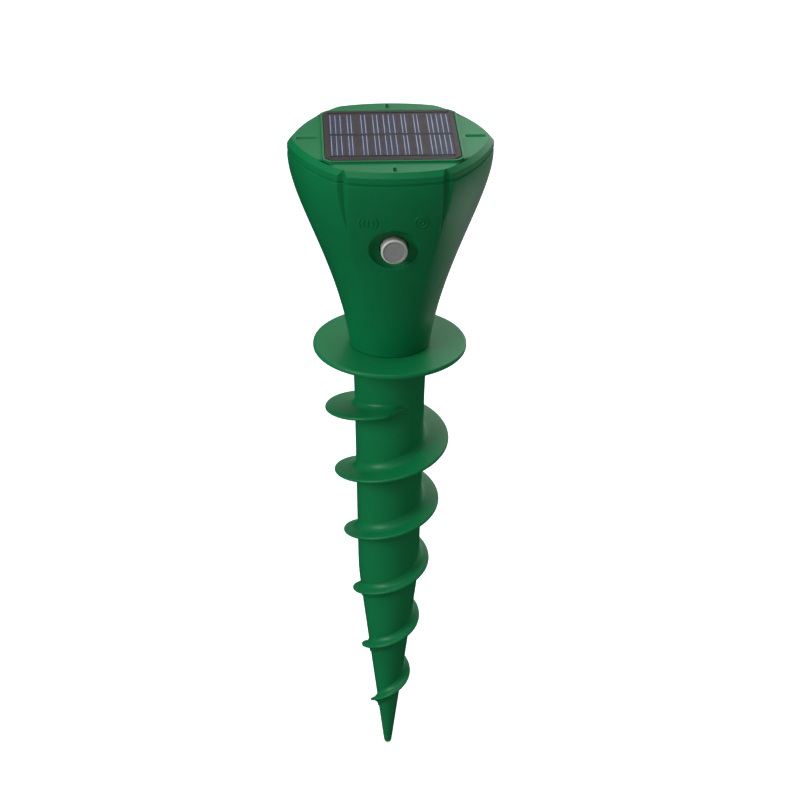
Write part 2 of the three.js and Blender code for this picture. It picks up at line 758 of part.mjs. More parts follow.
function buildBoard() {
  const half = board.width / 2;
  const holes = boardScrewPlaces().map(([x, z]) => (
    facingFront(rod(screw.small.shank + clearance.slip, boardBack - 1, boardFront + 1, segments.small))
      .translate(x, 0, z)
  ));
  const plate = block([-half, -boardFront, boardBottom], [half, -boardBack, boardTop]);
  add('control_board', cut(plate, ...holes), boardGreen);

  boardScrewPlaces().forEach(([x, z], i) => {
    const shape = facingFront(screwShape(screw.small, board.thickness + holder.postLength - 0.5));
    add(`board_screw_${i + 1}`, shape, steel).position.set(x, -boardFront - clearance.seat, z);
  });

  onBoard('controller_chip', 4, boardBottom + 12, [6, 5, 1.5], blackPlastic);
  onBoard('solar_lead_socket', 0, boardTop - 4, [6, 5, 4], whitePlastic);
  onBoard('speaker_lead_socket', 0, boardBottom + 3, [6, 5, 4], whitePlastic);
  const coil = facingFront(rod(2.6, boardFront + clearance.seat, boardFront + 3.2));
  add('step_up_coil', coil, magnetic).position.set(-5.5, 0, buttonHeight - toggle.width / 2 - 3.4);
  const can = facingFront(turned([
    [0, 0], [2.5, 0], [2.5, 0.7], [2.3, 1], [2.5, 1.3], [2.5, 6.2], [2.2, 6.5], [0, 6.5],
  ]));
  add('storage_capacitor', can, blackPlastic)
    .position.set(-6.5, -boardFront - clearance.seat, buttonHeight + toggle.width / 2 + 5);
}

// ---------- battery and its holder ----------

function contactPlate(z) {
  const reach = boardBack - clearance.seat;
  return block([-3, -reach, z], [3, cellY + 3, z + holder.contact]);
}

function buildBattery() {
  const side = cellPocket + holder.wall;
  const footRadius = headRadius(shelf) - head.wall - clearance.slide - 0.2;
  const foot = rod(footRadius, shelf + clearance.seat, cellFloor, segments.shaft);
  const tray = block([-side, -holderFront, cellFloor - 0.5], [side, cellY + holder.sideReach, holderTop]);
  const roofUnder = cellTop + clearance.seat + holder.contact + clearance.seat;
  const pocket = block(
    [-cellPocket, -holderFront + holder.wall, cellFloor],
    [cellPocket, cellY + holder.sideReach + 1, roofUnder],
  );
  const posts = boardScrewPlaces().map(([x, z]) => (
    facingFront(rod(holder.postRadius, holderFront - 0.5, boardBack - clearance.seat, segments.small))
      .translate(x, 0, z)
  ));
  const pilot = screw.small.shank + clearance.thread;
  const pilots = boardScrewPlaces().map(([x, z]) => (
    facingFront(rod(pilot, boardBack - holder.postLength, boardBack + 1, segments.small)).translate(x, 0, z)
  ));
  const footHoles = holderScrewPlaces().map(([x, y]) => (
    rod(screw.small.shank + clearance.slip, shelf - 1, cellFloor + 1, segments.small).translate(x, y, 0)
  ));
  const leadNotch = block([-2.5, -footRadius - 1, shelf - 1], [2.5, -boardFront + 0.5, cellFloor + 1]);
  const slots = [cellFloor, cellTop + clearance.seat].map((z) => block(
    [-3 - clearance.slip, -holderFront - 1, z - 0.01],
    [3 + clearance.slip, -holderFront + holder.wall + 1, z + holder.contact + 2 * clearance.seat],
  ));
  const shape = cut(
    join(foot, tray, ...posts), pocket, leadNotch, ...pilots, ...footHoles, ...slots,
  );
  add('battery_holder', shape, blackPlastic);

  holderScrewPlaces().forEach(([x, y], i) => {
    add(`holder_screw_${i + 1}`, screwShape(screw.small, holder.foot + 4), steel)
      .position.set(x, y, cellFloor + clearance.seat);
  });

  add('battery_contact_negative', contactPlate(cellFloor + clearance.seat), steel);
  add('battery_contact_positive', contactPlate(cellTop + clearance.seat), steel);

  const can = turned([
    [0, 0], [cell.radius - 0.5, 0], [cell.radius, 0.5], [cell.radius, cell.length - 0.5],
    [cell.radius - 0.5, cell.length], [cell.nubRadius, cell.length],
    [cell.nubRadius, cell.length + cell.nubHeight], [0, cell.length + cell.nubHeight],
  ], segments.shaft);
  add('rechargeable_cell', can, cellGreen).position.set(0, cellY, cellBottom);

  const wire = 0.3;
  const low = cellFloor + clearance.seat + holder.contact + clearance.seat + wire;
  const high = cellBottom - clearance.seat - wire;
  add('battery_spring', coilSpring(3.2, wire, low, high, 3), steel).position.set(0, cellY, 0);
}

// A coil whose first and last turns lie flat.
function coilSpring(radius, wire, low, high, turns) {
  const points = [];
  const steps = turns * 12;
  for (let i = 0; i <= steps; i++) {
    const share = i / steps;
    const angle = share * turns * 2 * Math.PI;
    const rise = THREE.MathUtils.smoothstep(share, 0.12, 0.88);
    const z = THREE.MathUtils.lerp(low, high, rise);
    points.push(new THREE.Vector3(radius * Math.cos(angle), radius * Math.sin(angle), z));
  }
  return alongPath(points, wire, steps);
}

function alongPath(points, radius, steps) {
  const section = new THREE.Shape();
  section.absarc(0, 0, radius, 0, 2 * Math.PI);
  const path = new THREE.CatmullRomCurve3(points);
  return new THREE.ExtrudeGeometry(section, {
    extrudePath: path, steps, curveSegments: 3, bevelEnabled: false,
  });
}

// ---------- loudspeaker, facing down into the stake ----------

function buildSpeaker() {
  const seat = group(0, 0, ledgeTop + clearance.seat);
  add('speaker_gasket', tube(8, speaker.radius, 0, speaker.gasket, segments.shaft), foam, seat);

  const place = group(0, 0, speaker.gasket + clearance.seat, seat);
  const { radius, rimHeight, height, cupRadius } = speaker;
  const basket = turned([
    [radius - 1.2, 0], [radius, 0], [radius, rimHeight], [cupRadius, rimHeight], [cupRadius, height],
    [cupRadius - 1.2, height], [cupRadius - 1.2, rimHeight - 0.6], [radius - 1.2, rimHeight - 0.6],
    [radius - 1.2, 0],
  ], segments.shaft);
  add('speaker_frame', basket, blackPlastic, place);

  const yokeOut = cupRadius - 1.2 - clearance.seat;
  add('speaker_yoke', turned([
    [0, height - 1], [yokeOut - 1, height - 1], [yokeOut - 1, 2.9], [yokeOut, 2.9],
    [yokeOut, height], [0, height],
  ], segments.shaft), steel, place);
  add('speaker_magnet', rod(4.8, 3.6, height - 1 - clearance.seat, segments.shaft), magnetic, place);
  add('speaker_pole_plate', rod(4.8, 2.9, 3.6 - clearance.seat, segments.shaft), steel, place);

  const membrane = turned([
    [0, 0.9], [4, 1.25], [5.2, 1.75], [6.4, 1], [8.4, 0.6], [9.4, 0.6], [9.4, 0.8], [8.4, 0.8],
    [6.4, 1.2], [5.2, 1.95], [4, 1.45], [0, 1.1],
  ], segments.shaft);
  add('speaker_diaphragm', membrane, paperCone, place);
  add('voice_coil', tube(5.1, 5.6, 2.05, 4.3, segments.shaft), copper, place);
}

// ---------- leads ----------

function addLead(name, points, look) {
  const path = points.map(([x, y, z]) => new THREE.Vector3(x, y, z));
  add(name, alongPath(path, lead.radius, 14), look);
}

function buildLeads() {
  const front = -boardFront - 2.2;
  [['red', -1, redLead], ['black', 1, blackLead]].forEach(([colour, side, look]) => {
    const x = side * lead.spacing;
    addLead(`solar_lead_${colour}`, [
      [x, cap.leadHoleOffset, pocketFloor - 0.3],
      [x, cap.leadHoleOffset, capUnderside - 1],
      [x, cap.leadHoleOffset - 5, capUnderside - 1.6],
      [x, front + 4, capUnderside - 1.6],
      [x, front, boardTop + 1.5],
      [x, front, boardTop - 1.2],
    ], look);
    addLead(`speaker_lead_${colour}`, [
      [x, -9.8, ledgeTop + speaker.gasket + speaker.rimHeight + 0.4],
      [x, -10, shelf - 1],
      [x, front + 1.5, shelf + 1],
      [x, front, boardBottom - 0.5],
      [x, front, boardBottom + 0.35],
    ], look);
  });
}

buildStake();
buildHousing();
buildCap();
buildPanel();
buildButton();
buildBoard();
buildBattery();
buildSpeaker();
buildLeads();

export default root;
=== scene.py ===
import bmesh
import bpy
import numpy as np
from mathutils import Matrix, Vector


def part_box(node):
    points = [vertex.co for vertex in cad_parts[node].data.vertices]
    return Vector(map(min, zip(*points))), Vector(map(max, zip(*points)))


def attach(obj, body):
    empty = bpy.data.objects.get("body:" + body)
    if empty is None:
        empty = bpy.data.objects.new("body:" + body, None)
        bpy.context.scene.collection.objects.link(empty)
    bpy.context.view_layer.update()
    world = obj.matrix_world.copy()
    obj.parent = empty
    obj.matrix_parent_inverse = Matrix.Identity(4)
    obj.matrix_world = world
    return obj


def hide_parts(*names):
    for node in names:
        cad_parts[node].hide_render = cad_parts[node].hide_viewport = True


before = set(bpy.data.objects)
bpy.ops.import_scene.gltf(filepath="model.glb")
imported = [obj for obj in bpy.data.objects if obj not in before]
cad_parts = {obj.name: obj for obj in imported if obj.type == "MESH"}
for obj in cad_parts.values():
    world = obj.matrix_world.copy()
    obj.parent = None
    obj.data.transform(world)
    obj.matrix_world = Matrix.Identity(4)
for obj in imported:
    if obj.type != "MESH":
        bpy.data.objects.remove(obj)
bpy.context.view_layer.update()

mm = 0.001
turnAround = 2 * np.pi
print("frame loaded:", len(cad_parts), "CAD nodes")


def nodeBox(node):  # lowest and highest corner of a CAD node, in millimetres
    low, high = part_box(node)
    return np.array(low) / mm, np.array(high) / mm


housingLow, housingHigh = nodeBox("housing_shell")
capHigh = nodeBox("top_cap")[1]
stakeHigh = nodeBox("ground_stake")[1]
buttonLow, buttonHigh = nodeBox("push_button")
glazingLow, glazingHigh = nodeBox("panel_glazing")
sealLow, sealHigh = nodeBox("cap_seal")

flangeTop = housingLow[2] - 0.05  # the head stands on the stake's flange here
buttonHeight = (buttonLow[2] + buttonHigh[2]) / 2
buttonFace = -buttonLow[1]  # how far out the button's face stands

# Meshes from sheets of points


def weldSheets(sheets, holes=()):
    # A sheet is a grid of points, rows by columns. Four neighbouring points make a face, points that fall
    # on one place become one vertex, and a face that loses a corner in that becomes a triangle or goes.
    # holes lists (sheet, first row, last row, first column, last column) windows that get no faces.
    points = np.concatenate([sheet.reshape(-1, 3) for sheet in sheets])
    faces = []
    start = 0
    for number, sheet in enumerate(sheets):
        rows, columns = sheet.shape[:2]
        index = start + np.arange(rows * columns).reshape(rows, columns)
        quads = np.stack([index[:-1, :-1], index[:-1, 1:], index[1:, 1:], index[1:, :-1]], -1)
        keep = np.ones(quads.shape[:2], bool)
        for place, firstRow, lastRow, firstColumn, lastColumn in holes:
            if place == number:
                keep[firstRow:lastRow, firstColumn:lastColumn] = False
        faces.append(quads[keep])
        start += rows * columns
    faces = np.concatenate(faces)
    cells = np.round(points / 1.3e-4).astype(np.int64)
    _, first, merged = np.unique(cells, axis=0, return_index=True, return_inverse=True)
    faces = merged.reshape(-1)[faces]
    return points[first], faces


def fillMesh(mesh, points, faces):
    # Puts quads into a mesh, and leaves out each corner that equals the one before it.
    corners = faces != np.roll(faces, 1, axis=1)
    counts = corners.sum(axis=1)
    whole = (counts >= 3) & (faces[:, 0] != faces[:, 2]) & (faces[:, 1] != faces[:, 3])
    faces, corners, counts = faces[whole], corners[whole], counts[whole]
    loops = faces[corners]
    mesh.vertices.add(len(points))
    mesh.vertices.foreach_set("co", (points * mm).astype(np.float32).ravel())
    mesh.loops.add(len(loops))
    mesh.loops.foreach_set("vertex_index", loops.astype(np.int32))
    mesh.polygons.add(len(counts))
    starts = np.concatenate([[0], np.cumsum(counts)[:-1]])
    mesh.polygons.foreach_set("loop_start", starts.astype(np.int32))
    mesh.update(calc_edges=True)


def addPiece(name, sheets, material, replaced, body="head_and_stake", holes=()):
    # A closed piece: sheets welded, slivers dissolved, faces turned outwards.
    mesh = bpy.data.meshes.new(name)
    fillMesh(mesh, *weldSheets(sheets, holes))
    work = bmesh.new()
    work.from_mesh(mesh)
    bmesh.ops.dissolve_degenerate(work, edges=work.edges, dist=1e-7)
    bmesh.ops.delete(work, geom=[v for v in work.verts if not v.link_faces], context="VERTS")
    bmesh.ops.recalc_face_normals(work, faces=work.faces)
    work.to_mesh(mesh)
    work.free()
    mesh.polygons.foreach_set("use_smooth", np.ones(len(mesh.polygons), bool))
    mesh.materials.append(material)
    piece = bpy.data.objects.new(name, mesh)
    bpy.context.scene.collection.objects.link(piece)
    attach(piece, body)
    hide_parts(*replaced)
    return piece


def roundedLine(corners, steps=5, hold=0.5):
    # A line through corners (across, up, radius). A corner with a radius becomes an arc that touches both
    # of its sides, with one more point before and after it, hold radii away, that keeps the flats flat.
    line = [corners[0][:2]]
    for before, corner, after in zip(corners, corners[1:], corners[2:]):
        at, radius = np.array(corner[:2], float), corner[2]
        toBefore, toAfter = np.array(before[:2]) - at, np.array(after[:2]) - at
        lengths = np.linalg.norm(toBefore), np.linalg.norm(toAfter)
        toBefore, toAfter = toBefore / lengths[0], toAfter / lengths[1]
        between = np.arccos(np.clip(toBefore @ toAfter, -1, 1))
        if radius == 0 or between > 3.1:
            line.append(at)
            continue
        reach = radius / np.tan(between / 2)
        middle = toBefore + toAfter
        centre = at + middle / np.linalg.norm(middle) * radius / np.sin(between / 2)
        sweep = np.pi - between
        share = np.linspace(0, 1, steps + 1)[:, None]
        first, last = at + toBefore * reach - centre, at + toAfter * reach - centre
        arc = centre + (np.sin((1 - share) * sweep) * first + np.sin(share * sweep) * last) / np.sin(sweep)
        holdBack = min(reach + hold * radius, lengths[0] * 0.49)
        holdOn = min(reach + hold * radius, lengths[1] * 0.49)
        if holdBack > reach:
            line.append(at + toBefore * holdBack)
        line.extend(arc)
        if holdOn > reach:
            line.append(at + toAfter * holdOn)
    line.append(corners[-1][:2])
    return np.array(line, float)


def turned(profile, columns=96):
    # A profile of (radius, height) carried round the Z axis.
    angle = np.linspace(0, turnAround, columns + 1)
    radius, height = profile[:, :1], profile[:, 1:]
    sheet = np.stack([radius * np.cos(angle), radius * np.sin(angle), height + 0 * angle], -1)
    sheet[:, -1] = sheet[:, 0]
    return sheet


def facingFront(sheet):  # turns a shape made about +Z so that it points along -Y
    return np.stack([sheet[..., 0], -sheet[..., 2], sheet[..., 1]], -1)


def movedBy(sheet, x, y, z):
    return sheet + np.array([x, y, z])


# Finishes


def newMaterial(name):
    material = bpy.data.materials.new(name)
    material.use_nodes = True
    nodes = material.node_tree.nodes
    return material, nodes, material.node_tree.links, nodes["Principled BSDF"]


def linearColour(red, green, blue):  # screen colour, 0 to 255, to the shader's linear one
    share = np.array([red, green, blue]) / 255
    linear = np.where(share <= 0.04045, share / 12.92, ((share + 0.055) / 1.055) ** 2.4)
    return (*linear, 1.0)


def noiseNode(nodes, links, coords, scale, detail=2.0, roughness=0.5):
    noise = nodes.new("ShaderNodeTexNoise")
    noise.inputs["Scale"].default_value = scale
    noise.inputs["Detail"].default_value = detail
    noise.inputs["Roughness"].default_value = roughness
    links.new(coords.outputs["Object"], noise.inputs["Vector"])
    return noise


def rangeNode(nodes, links, source, low, high, fromLow=0.3, fromHigh=0.7):
    spread = nodes.new("ShaderNodeMapRange")
    spread.inputs["From Min"].default_value = fromLow
    spread.inputs["From Max"].default_value = fromHigh
    spread.inputs["To Min"].default_value = low
    spread.inputs["To Max"].default_value = high
    links.new(source, spread.inputs["Value"])
    return spread


def mixNode(nodes, links, factor, first, second):
    mix = nodes.new("ShaderNodeMix")
    mix.data_type = "RGBA"
    links.new(factor, mix.inputs["Factor"])
    for value, socket in ((first, mix.inputs["A"]), (second, mix.inputs["B"])):
        if isinstance(value, tuple):
            socket.default_value = value
        else:
            links.new(value, socket)
    return mix.outputs["Result"]


def mouldedFinish(name, base, pale, dark, roughness, grain, wear=0.25, metallic=0.0, specular=0.5):
    # Broad cloudiness moves the colour between dark and base, small scuffs are paler, and the fine grain
    # of the mould shows in the bump and the roughness.
    material, nodes, links, shader = newMaterial(name)
    coords = nodes.new("ShaderNodeTexCoord")
    cloud = noiseNode(nodes, links, coords, 34, 3)
    speck = noiseNode(nodes, links, coords, grain["scale"], 4, 0.65)
    swirl = noiseNode(nodes, links, coords, 9, 2)
    cloudy = rangeNode(nodes, links, cloud.outputs["Fac"], 0, 1)
    colour = mixNode(nodes, links, cloudy.outputs["Result"], dark, base)
    rubbed = noiseNode(nodes, links, coords, 420, 5, 0.7)
    scuffed = rangeNode(nodes, links, rubbed.outputs["Fac"], 0, wear, 0.6, 0.8)
    colour = mixNode(nodes, links, scuffed.outputs["Result"], colour, pale)
    links.new(colour, shader.inputs["Base Color"])
    rough = rangeNode(nodes, links, speck.outputs["Fac"], roughness - 0.05, roughness + 0.05)
    slow = rangeNode(nodes, links, swirl.outputs["Fac"], -0.03, 0.03)
    total = nodes.new("ShaderNodeMath")
    links.new(rough.outputs["Result"], total.inputs[0])
    links.new(slow.outputs["Result"], total.inputs[1])
    links.new(total.outputs["Value"], shader.inputs["Roughness"])
    bump = nodes.new("ShaderNodeBump")
    bump.inputs["Strength"].default_value = grain["strength"]
    bump.inputs["Distance"].default_value = grain["depth"] * mm
    links.new(speck.outputs["Fac"], bump.inputs["Height"])
    links.new(bump.outputs["Normal"], shader.inputs["Normal"])
    shader.inputs["Metallic"].default_value = metallic
    shader.inputs["Specular IOR Level"].default_value = specular
    return material


def brushedMetal(name, base, dark, roughness, stretch):
    # Fine lines drawn out along one axis by the stretch, with small stains.
    material, nodes, links, shader = newMaterial(name)
    coords = nodes.new("ShaderNodeTexCoord")
    mapping = nodes.new("ShaderNodeMapping")
    mapping.inputs["Scale"].default_value = stretch
    links.new(coords.outputs["Object"], mapping.inputs["Vector"])
    lines = nodes.new("ShaderNodeTexNoise")
    lines.inputs["Scale"].default_value = 900
    lines.inputs["Detail"].default_value = 3
    links.new(mapping.outputs["Vector"], lines.inputs["Vector"])
    stains = noiseNode(nodes, links, coords, 260, 3)
    stained = rangeNode(nodes, links, stains.outputs["Fac"], 0, 1, 0.42, 0.72)
    links.new(mixNode(nodes, links, stained.outputs["Result"], base, dark), shader.inputs["Base Color"])
    rough = rangeNode(nodes, links, lines.outputs["Fac"], roughness - 0.08, roughness + 0.12)
    links.new(rough.outputs["Result"], shader.inputs["Roughness"])
    bump = nodes.new("ShaderNodeBump")
    bump.inputs["Strength"].default_value = 0.25
    bump.inputs["Distance"].default_value = 0.02 * mm
    links.new(lines.outputs["Fac"], bump.inputs["Height"])
    links.new(bump.outputs["Normal"], shader.inputs["Normal"])
    shader.inputs["Metallic"].default_value = 1.0
    return material


finePlastic = {"scale": 2600, "strength": 0.35, "depth": 0.05}
satinPlastic = {"scale": 1500, "strength": 0.3, "depth": 0.03}
rubberSkin = {"scale": 3200, "strength": 0.5, "depth": 0.08}

greenBody = mouldedFinish(
    "green_body", linearColour(5, 112, 64), linearColour(40, 140, 94), linearColour(4, 106, 59),
    0.38, finePlastic, wear=0.2, specular=0.22,
)
greenStake = mouldedFinish(
    "green_stake", linearColour(12, 117, 67), linearColour(44, 142, 96), linearColour(9, 111, 62),
    0.38, satinPlastic, wear=0.2, specular=0.22,
)
sealRubber = mouldedFinish(
    "seal_rubber", linearColour(5, 108, 61), linearColour(30, 120, 78), linearColour(4, 100, 56),
    0.9, rubberSkin, wear=0.2, specular=0.05,
)
blackMoulding = mouldedFinish(
    "black_moulding", linearColour(38, 39, 41), linearColour(80, 82, 84), linearColour(28, 29, 31),
    0.5, finePlastic,
)
whiteMoulding = mouldedFinish(
    "white_moulding", linearColour(228, 226, 218), linearColour(240, 240, 236), linearColour(216, 212, 200),
    0.45, finePlastic,
)
foamPad = mouldedFinish(
    "foam_pad", linearColour(226, 223, 212), linearColour(240, 240, 236), linearColour(200, 196, 182),
    0.9, {"scale": 1400, "strength": 0.9, "depth": 0.25},
)
conePaper = mouldedFinish(
    "cone_paper", linearColour(54, 52, 47), linearColour(90, 88, 80), linearColour(38, 36, 32),
    0.9, {"scale": 1700, "strength": 0.8, "depth": 0.12},
)
boardLaminate = mouldedFinish(
    "board_laminate", linearColour(28, 100, 66), linearColour(120, 160, 120), linearColour(20, 84, 54),
    0.35, {"scale": 900, "strength": 0.2, "depth": 0.03},
)
cellSleeve = mouldedFinish(
    "cell_sleeve", linearColour(82, 150, 62), linearColour(150, 190, 130), linearColour(66, 128, 50),
    0.35, satinPlastic,
)
redInsulation = mouldedFinish(
    "red_insulation", linearColour(168, 40, 32), linearColour(200, 100, 90), linearColour(140, 28, 24),
    0.45, satinPlastic,
)
blackInsulation = mouldedFinish(
    "black_insulation", linearColour(34, 34, 34), linearColour(80, 80, 80), linearColour(24, 24, 24),
    0.45, satinPlastic,
)
screwSteel = brushedMetal(
    "screw_steel", linearColour(196, 199, 203), linearColour(140, 142, 146), 0.3, (1, 1, 0.1),
)
darkFerrite = brushedMetal(
    "dark_ferrite", linearColour(88, 90, 95), linearColour(60, 61, 64), 0.5, (1, 1, 1),
)
windingCopper = brushedMetal(
    "winding_copper", linearColour(196, 120, 74), linearColour(150, 84, 50), 0.35, (0.1, 0.1, 6),
)
print("finishes made")

# The head's form, shared by housing, cap and seal

headForm = {
    "height": 71.5, "cornerRadius": 35.0, "neckRadius": 14.0, "neckLean": 0.13, "neckReach": 32.03,
    "shoulderReach": 16.99, "flatness": 0.06, "roundBelow": 3.2, "flatAbove": 62.2, "cornerSoftness": 1.6,
    "grooveDepth": 1.7, "grooveHalfWidth": 1.9, "grooveRun": 26.0, "grooveBow": 1.6,
}
housingTop = flangeTop + headForm["height"]
groovedCorners = (60, 120, 240, 300)


def bezier(share, *handles):
    # Each round mixes neighbouring handles by the share, until one is left.
    while len(handles) > 1:
        handles = [a + (b - a) * share for a, b in zip(handles, handles[1:])]
    return handles[0]


def sideRadius(height):
    # Corner radius over height: a cubic curve from the neck, leaning out a little, to upright at the top.
    form = headForm
    share = np.linspace(0, 1, 600)
    out = bezier(
        share, form["neckRadius"], form["neckRadius"] + form["neckLean"] * form["neckReach"],
        form["cornerRadius"], form["cornerRadius"],
    )
    up = bezier(share, 0, form["neckReach"], form["height"] - form["shoulderReach"], form["height"])
    return np.interp(height - flangeTop, up, out)


def planShare(angle, height):
    # Reach in a direction as a share of the corner radius. Each of the six sides is an arc between two
    # corners whose centre lies beyond the axis; near the neck the arcs become one circle, and the corners
    # are softened.
    form = headForm
    above = height - flangeTop - form["roundBelow"]
    rise = np.clip(above / (form["flatAbove"] - form["roundBelow"]), 0, 1)
    flat = 1 - form["flatness"] * rise * rise * (3 - 2 * rise)
    sixth = np.pi / 3
    fromCorner = angle - sixth * np.round(angle / sixth)
    fromMiddle = sixth / 2 - np.sqrt(fromCorner ** 2 + np.radians(form["cornerSoftness"]) ** 2)
    beyond = (flat ** 2 - 1) / (2 * (np.cos(sixth / 2) - flat))
    arc = flat + beyond
    return np.sqrt(arc ** 2 - (beyond * np.sin(fromMiddle)) ** 2) - beyond * np.cos(fromMiddle)


def grooveDepth(radius, height):
    # How deep the V grooves are where the corner radius is radius: their bottom line is a quadratic curve
    # that leaves the surface grooveRun below the housing's top and bows outwards a little.
    form = headForm
    share = np.linspace(0, 1, 200)
    low = housingTop - form["grooveRun"]
    high = form["cornerRadius"] - form["grooveDepth"]
    out = bezier(share, sideRadius(low), high + form["grooveBow"] / 3, high)
    up = bezier(share, low, (low + housingTop) / 2, capHigh[2] + 1)
    return np.clip(radius - np.interp(height, up, out), 0, None) * (height > low)


# Across a groove, from -1 to 1 between its edges; the V has a soft bottom and soft edges.
grooveLines = np.array([
    -1.5, -1.25, -1.1, -1, -0.88, -0.6, -0.3, -0.12, 0, 0.12, 0.3, 0.6, 0.88, 1, 1.1, 1.25, 1.5,
])


def grooveShare(across):
    # How much of its depth a groove has: a V with its bottom rounded by 0.12 and its edges by 0.05.
    inside = 1.02 - np.sqrt(across ** 2 + 0.12 ** 2)
    return 0.5 * (inside + np.sqrt(inside ** 2 + 0.05 ** 2)) * (np.abs(across) < 1.4)


def columnPlan(stations, spacing=1.9):
    # Columns round the axis. A station is (angle, groove lines, slot lines in mm): its own lines lie at
    # fixed distances either side of its angle, and the columns between two stations are spread evenly.
    # Gives each column's angle, its place across a groove and its distance from a slot's middle.
    angles, grooves, slots = [], [], []
    stations = [*stations, (stations[0][0] + 360, *stations[0][1:])]
    for number, (angle, across, beside) in enumerate(stations):
        if number:
            count = max(2, int(round((angle - angles[-1]) / spacing)))
            share = np.arange(1, count) / count
            angles.extend(angles[-1] + (angle - angles[-1]) * share)
            grooves.extend(grooves[-1] + (across[0] - grooves[-1]) * share)
            slots.extend(slots[-1] + (beside[0] - slots[-1]) * share)
        lines = max(len(across), len(beside))
        angles.extend([angle] * lines)
        grooves.extend(across if len(across) == lines else [across[0]] * lines)
        slots.extend(beside if len(beside) == lines else [beside[0]] * lines)
    return np.radians(angles), np.array(grooves), np.array(slots)


def headSheet(plan, rows):
    # One ring of points for each row (radius, height, inset, plain). radius is the corner radius before
    # the inset is taken off, and plain goes from 0, six-sided and grooved, to 1, a plain circle of that
    # radius. The grooves are left out of rows that lie over 1.6 mm inside.
    angle, across, beside = plan
    radius, height, inset, plain = (np.array(rows, float)[:, i:i + 1] for i in range(4))
    depth = grooveDepth(radius, height) * (1 - plain) * np.clip(1.6 - inset, 0, 1)
    widen = np.maximum(depth * headForm["grooveHalfWidth"] / headForm["grooveDepth"], 0.5)
    turn = angle + (across * widen + beside) / radius
    inGroove = (np.abs(angle[:, None] - np.radians(groovedCorners)) < 1e-6).any(axis=1)
    cut = depth * grooveShare(across) * inGroove
    reach = radius * (planShare(turn, height) * (1 - plain) + plain) - cut - inset
    sheet = np.stack([reach * np.cos(turn), reach * np.sin(turn), height + 0 * turn], -1)
    sheet[:, -1] = sheet[:, 0]
    return sheet


# Housing

housing = {
    "wall": 2.4, "edge": 0.2, "shelf": 16.0, "ledgeTop": 9.0, "ledgeBottom": 6.5,
    "pocketRadius": 11.2, "ledgeBore": 7.6, "neckBore": 12.0,
    "windowHalfAngle": 22.5, "windowLow": -12.0, "windowHigh": 12.0,
    "postBore": 1.2, "postRadius": 3.0, "postRoot": 15.25, "postEnd": 1.15,  # root and end, below the top
}
dish = {
    "tilt": 18.0, "depth": 2.5, "floorRadius": 5.3, "rimRadius": 8.2, "stretch": 1.02, "rimRound": 0.45,
    "boreRadius": 4.8, "boreEdge": 0.2, "guideRadius": 8.0, "guideEnd": 20.52,
    "proud": 1.8,  # how far the button's face stands out of the wall
}


def windowRing(sheet, lowRow, highRow, leftColumn, rightColumn):
    # The points round a window in a sheet, from its low left corner and back to it.
    up = np.arange(lowRow, highRow, 1 if highRow > lowRow else -1)
    down = np.arange(highRow, lowRow, -1 if highRow > lowRow else 1)
    return np.concatenate([
        sheet[lowRow, leftColumn:rightColumn], sheet[up, rightColumn],
        sheet[highRow, rightColumn:leftColumn:-1], sheet[down, leftColumn],
        sheet[lowRow, leftColumn:leftColumn + 1],
    ])


def wallFront(x, z, inset):
    # How far out along -Y the wall lies at x and z, by stepping towards it.
    out = sideRadius(z) - inset
    for _ in range(14):
        reach = sideRadius(z) * planShare(np.arctan2(-out, x), z) - inset
        out = np.sqrt(np.maximum(reach ** 2 - x ** 2, 1))
    return out


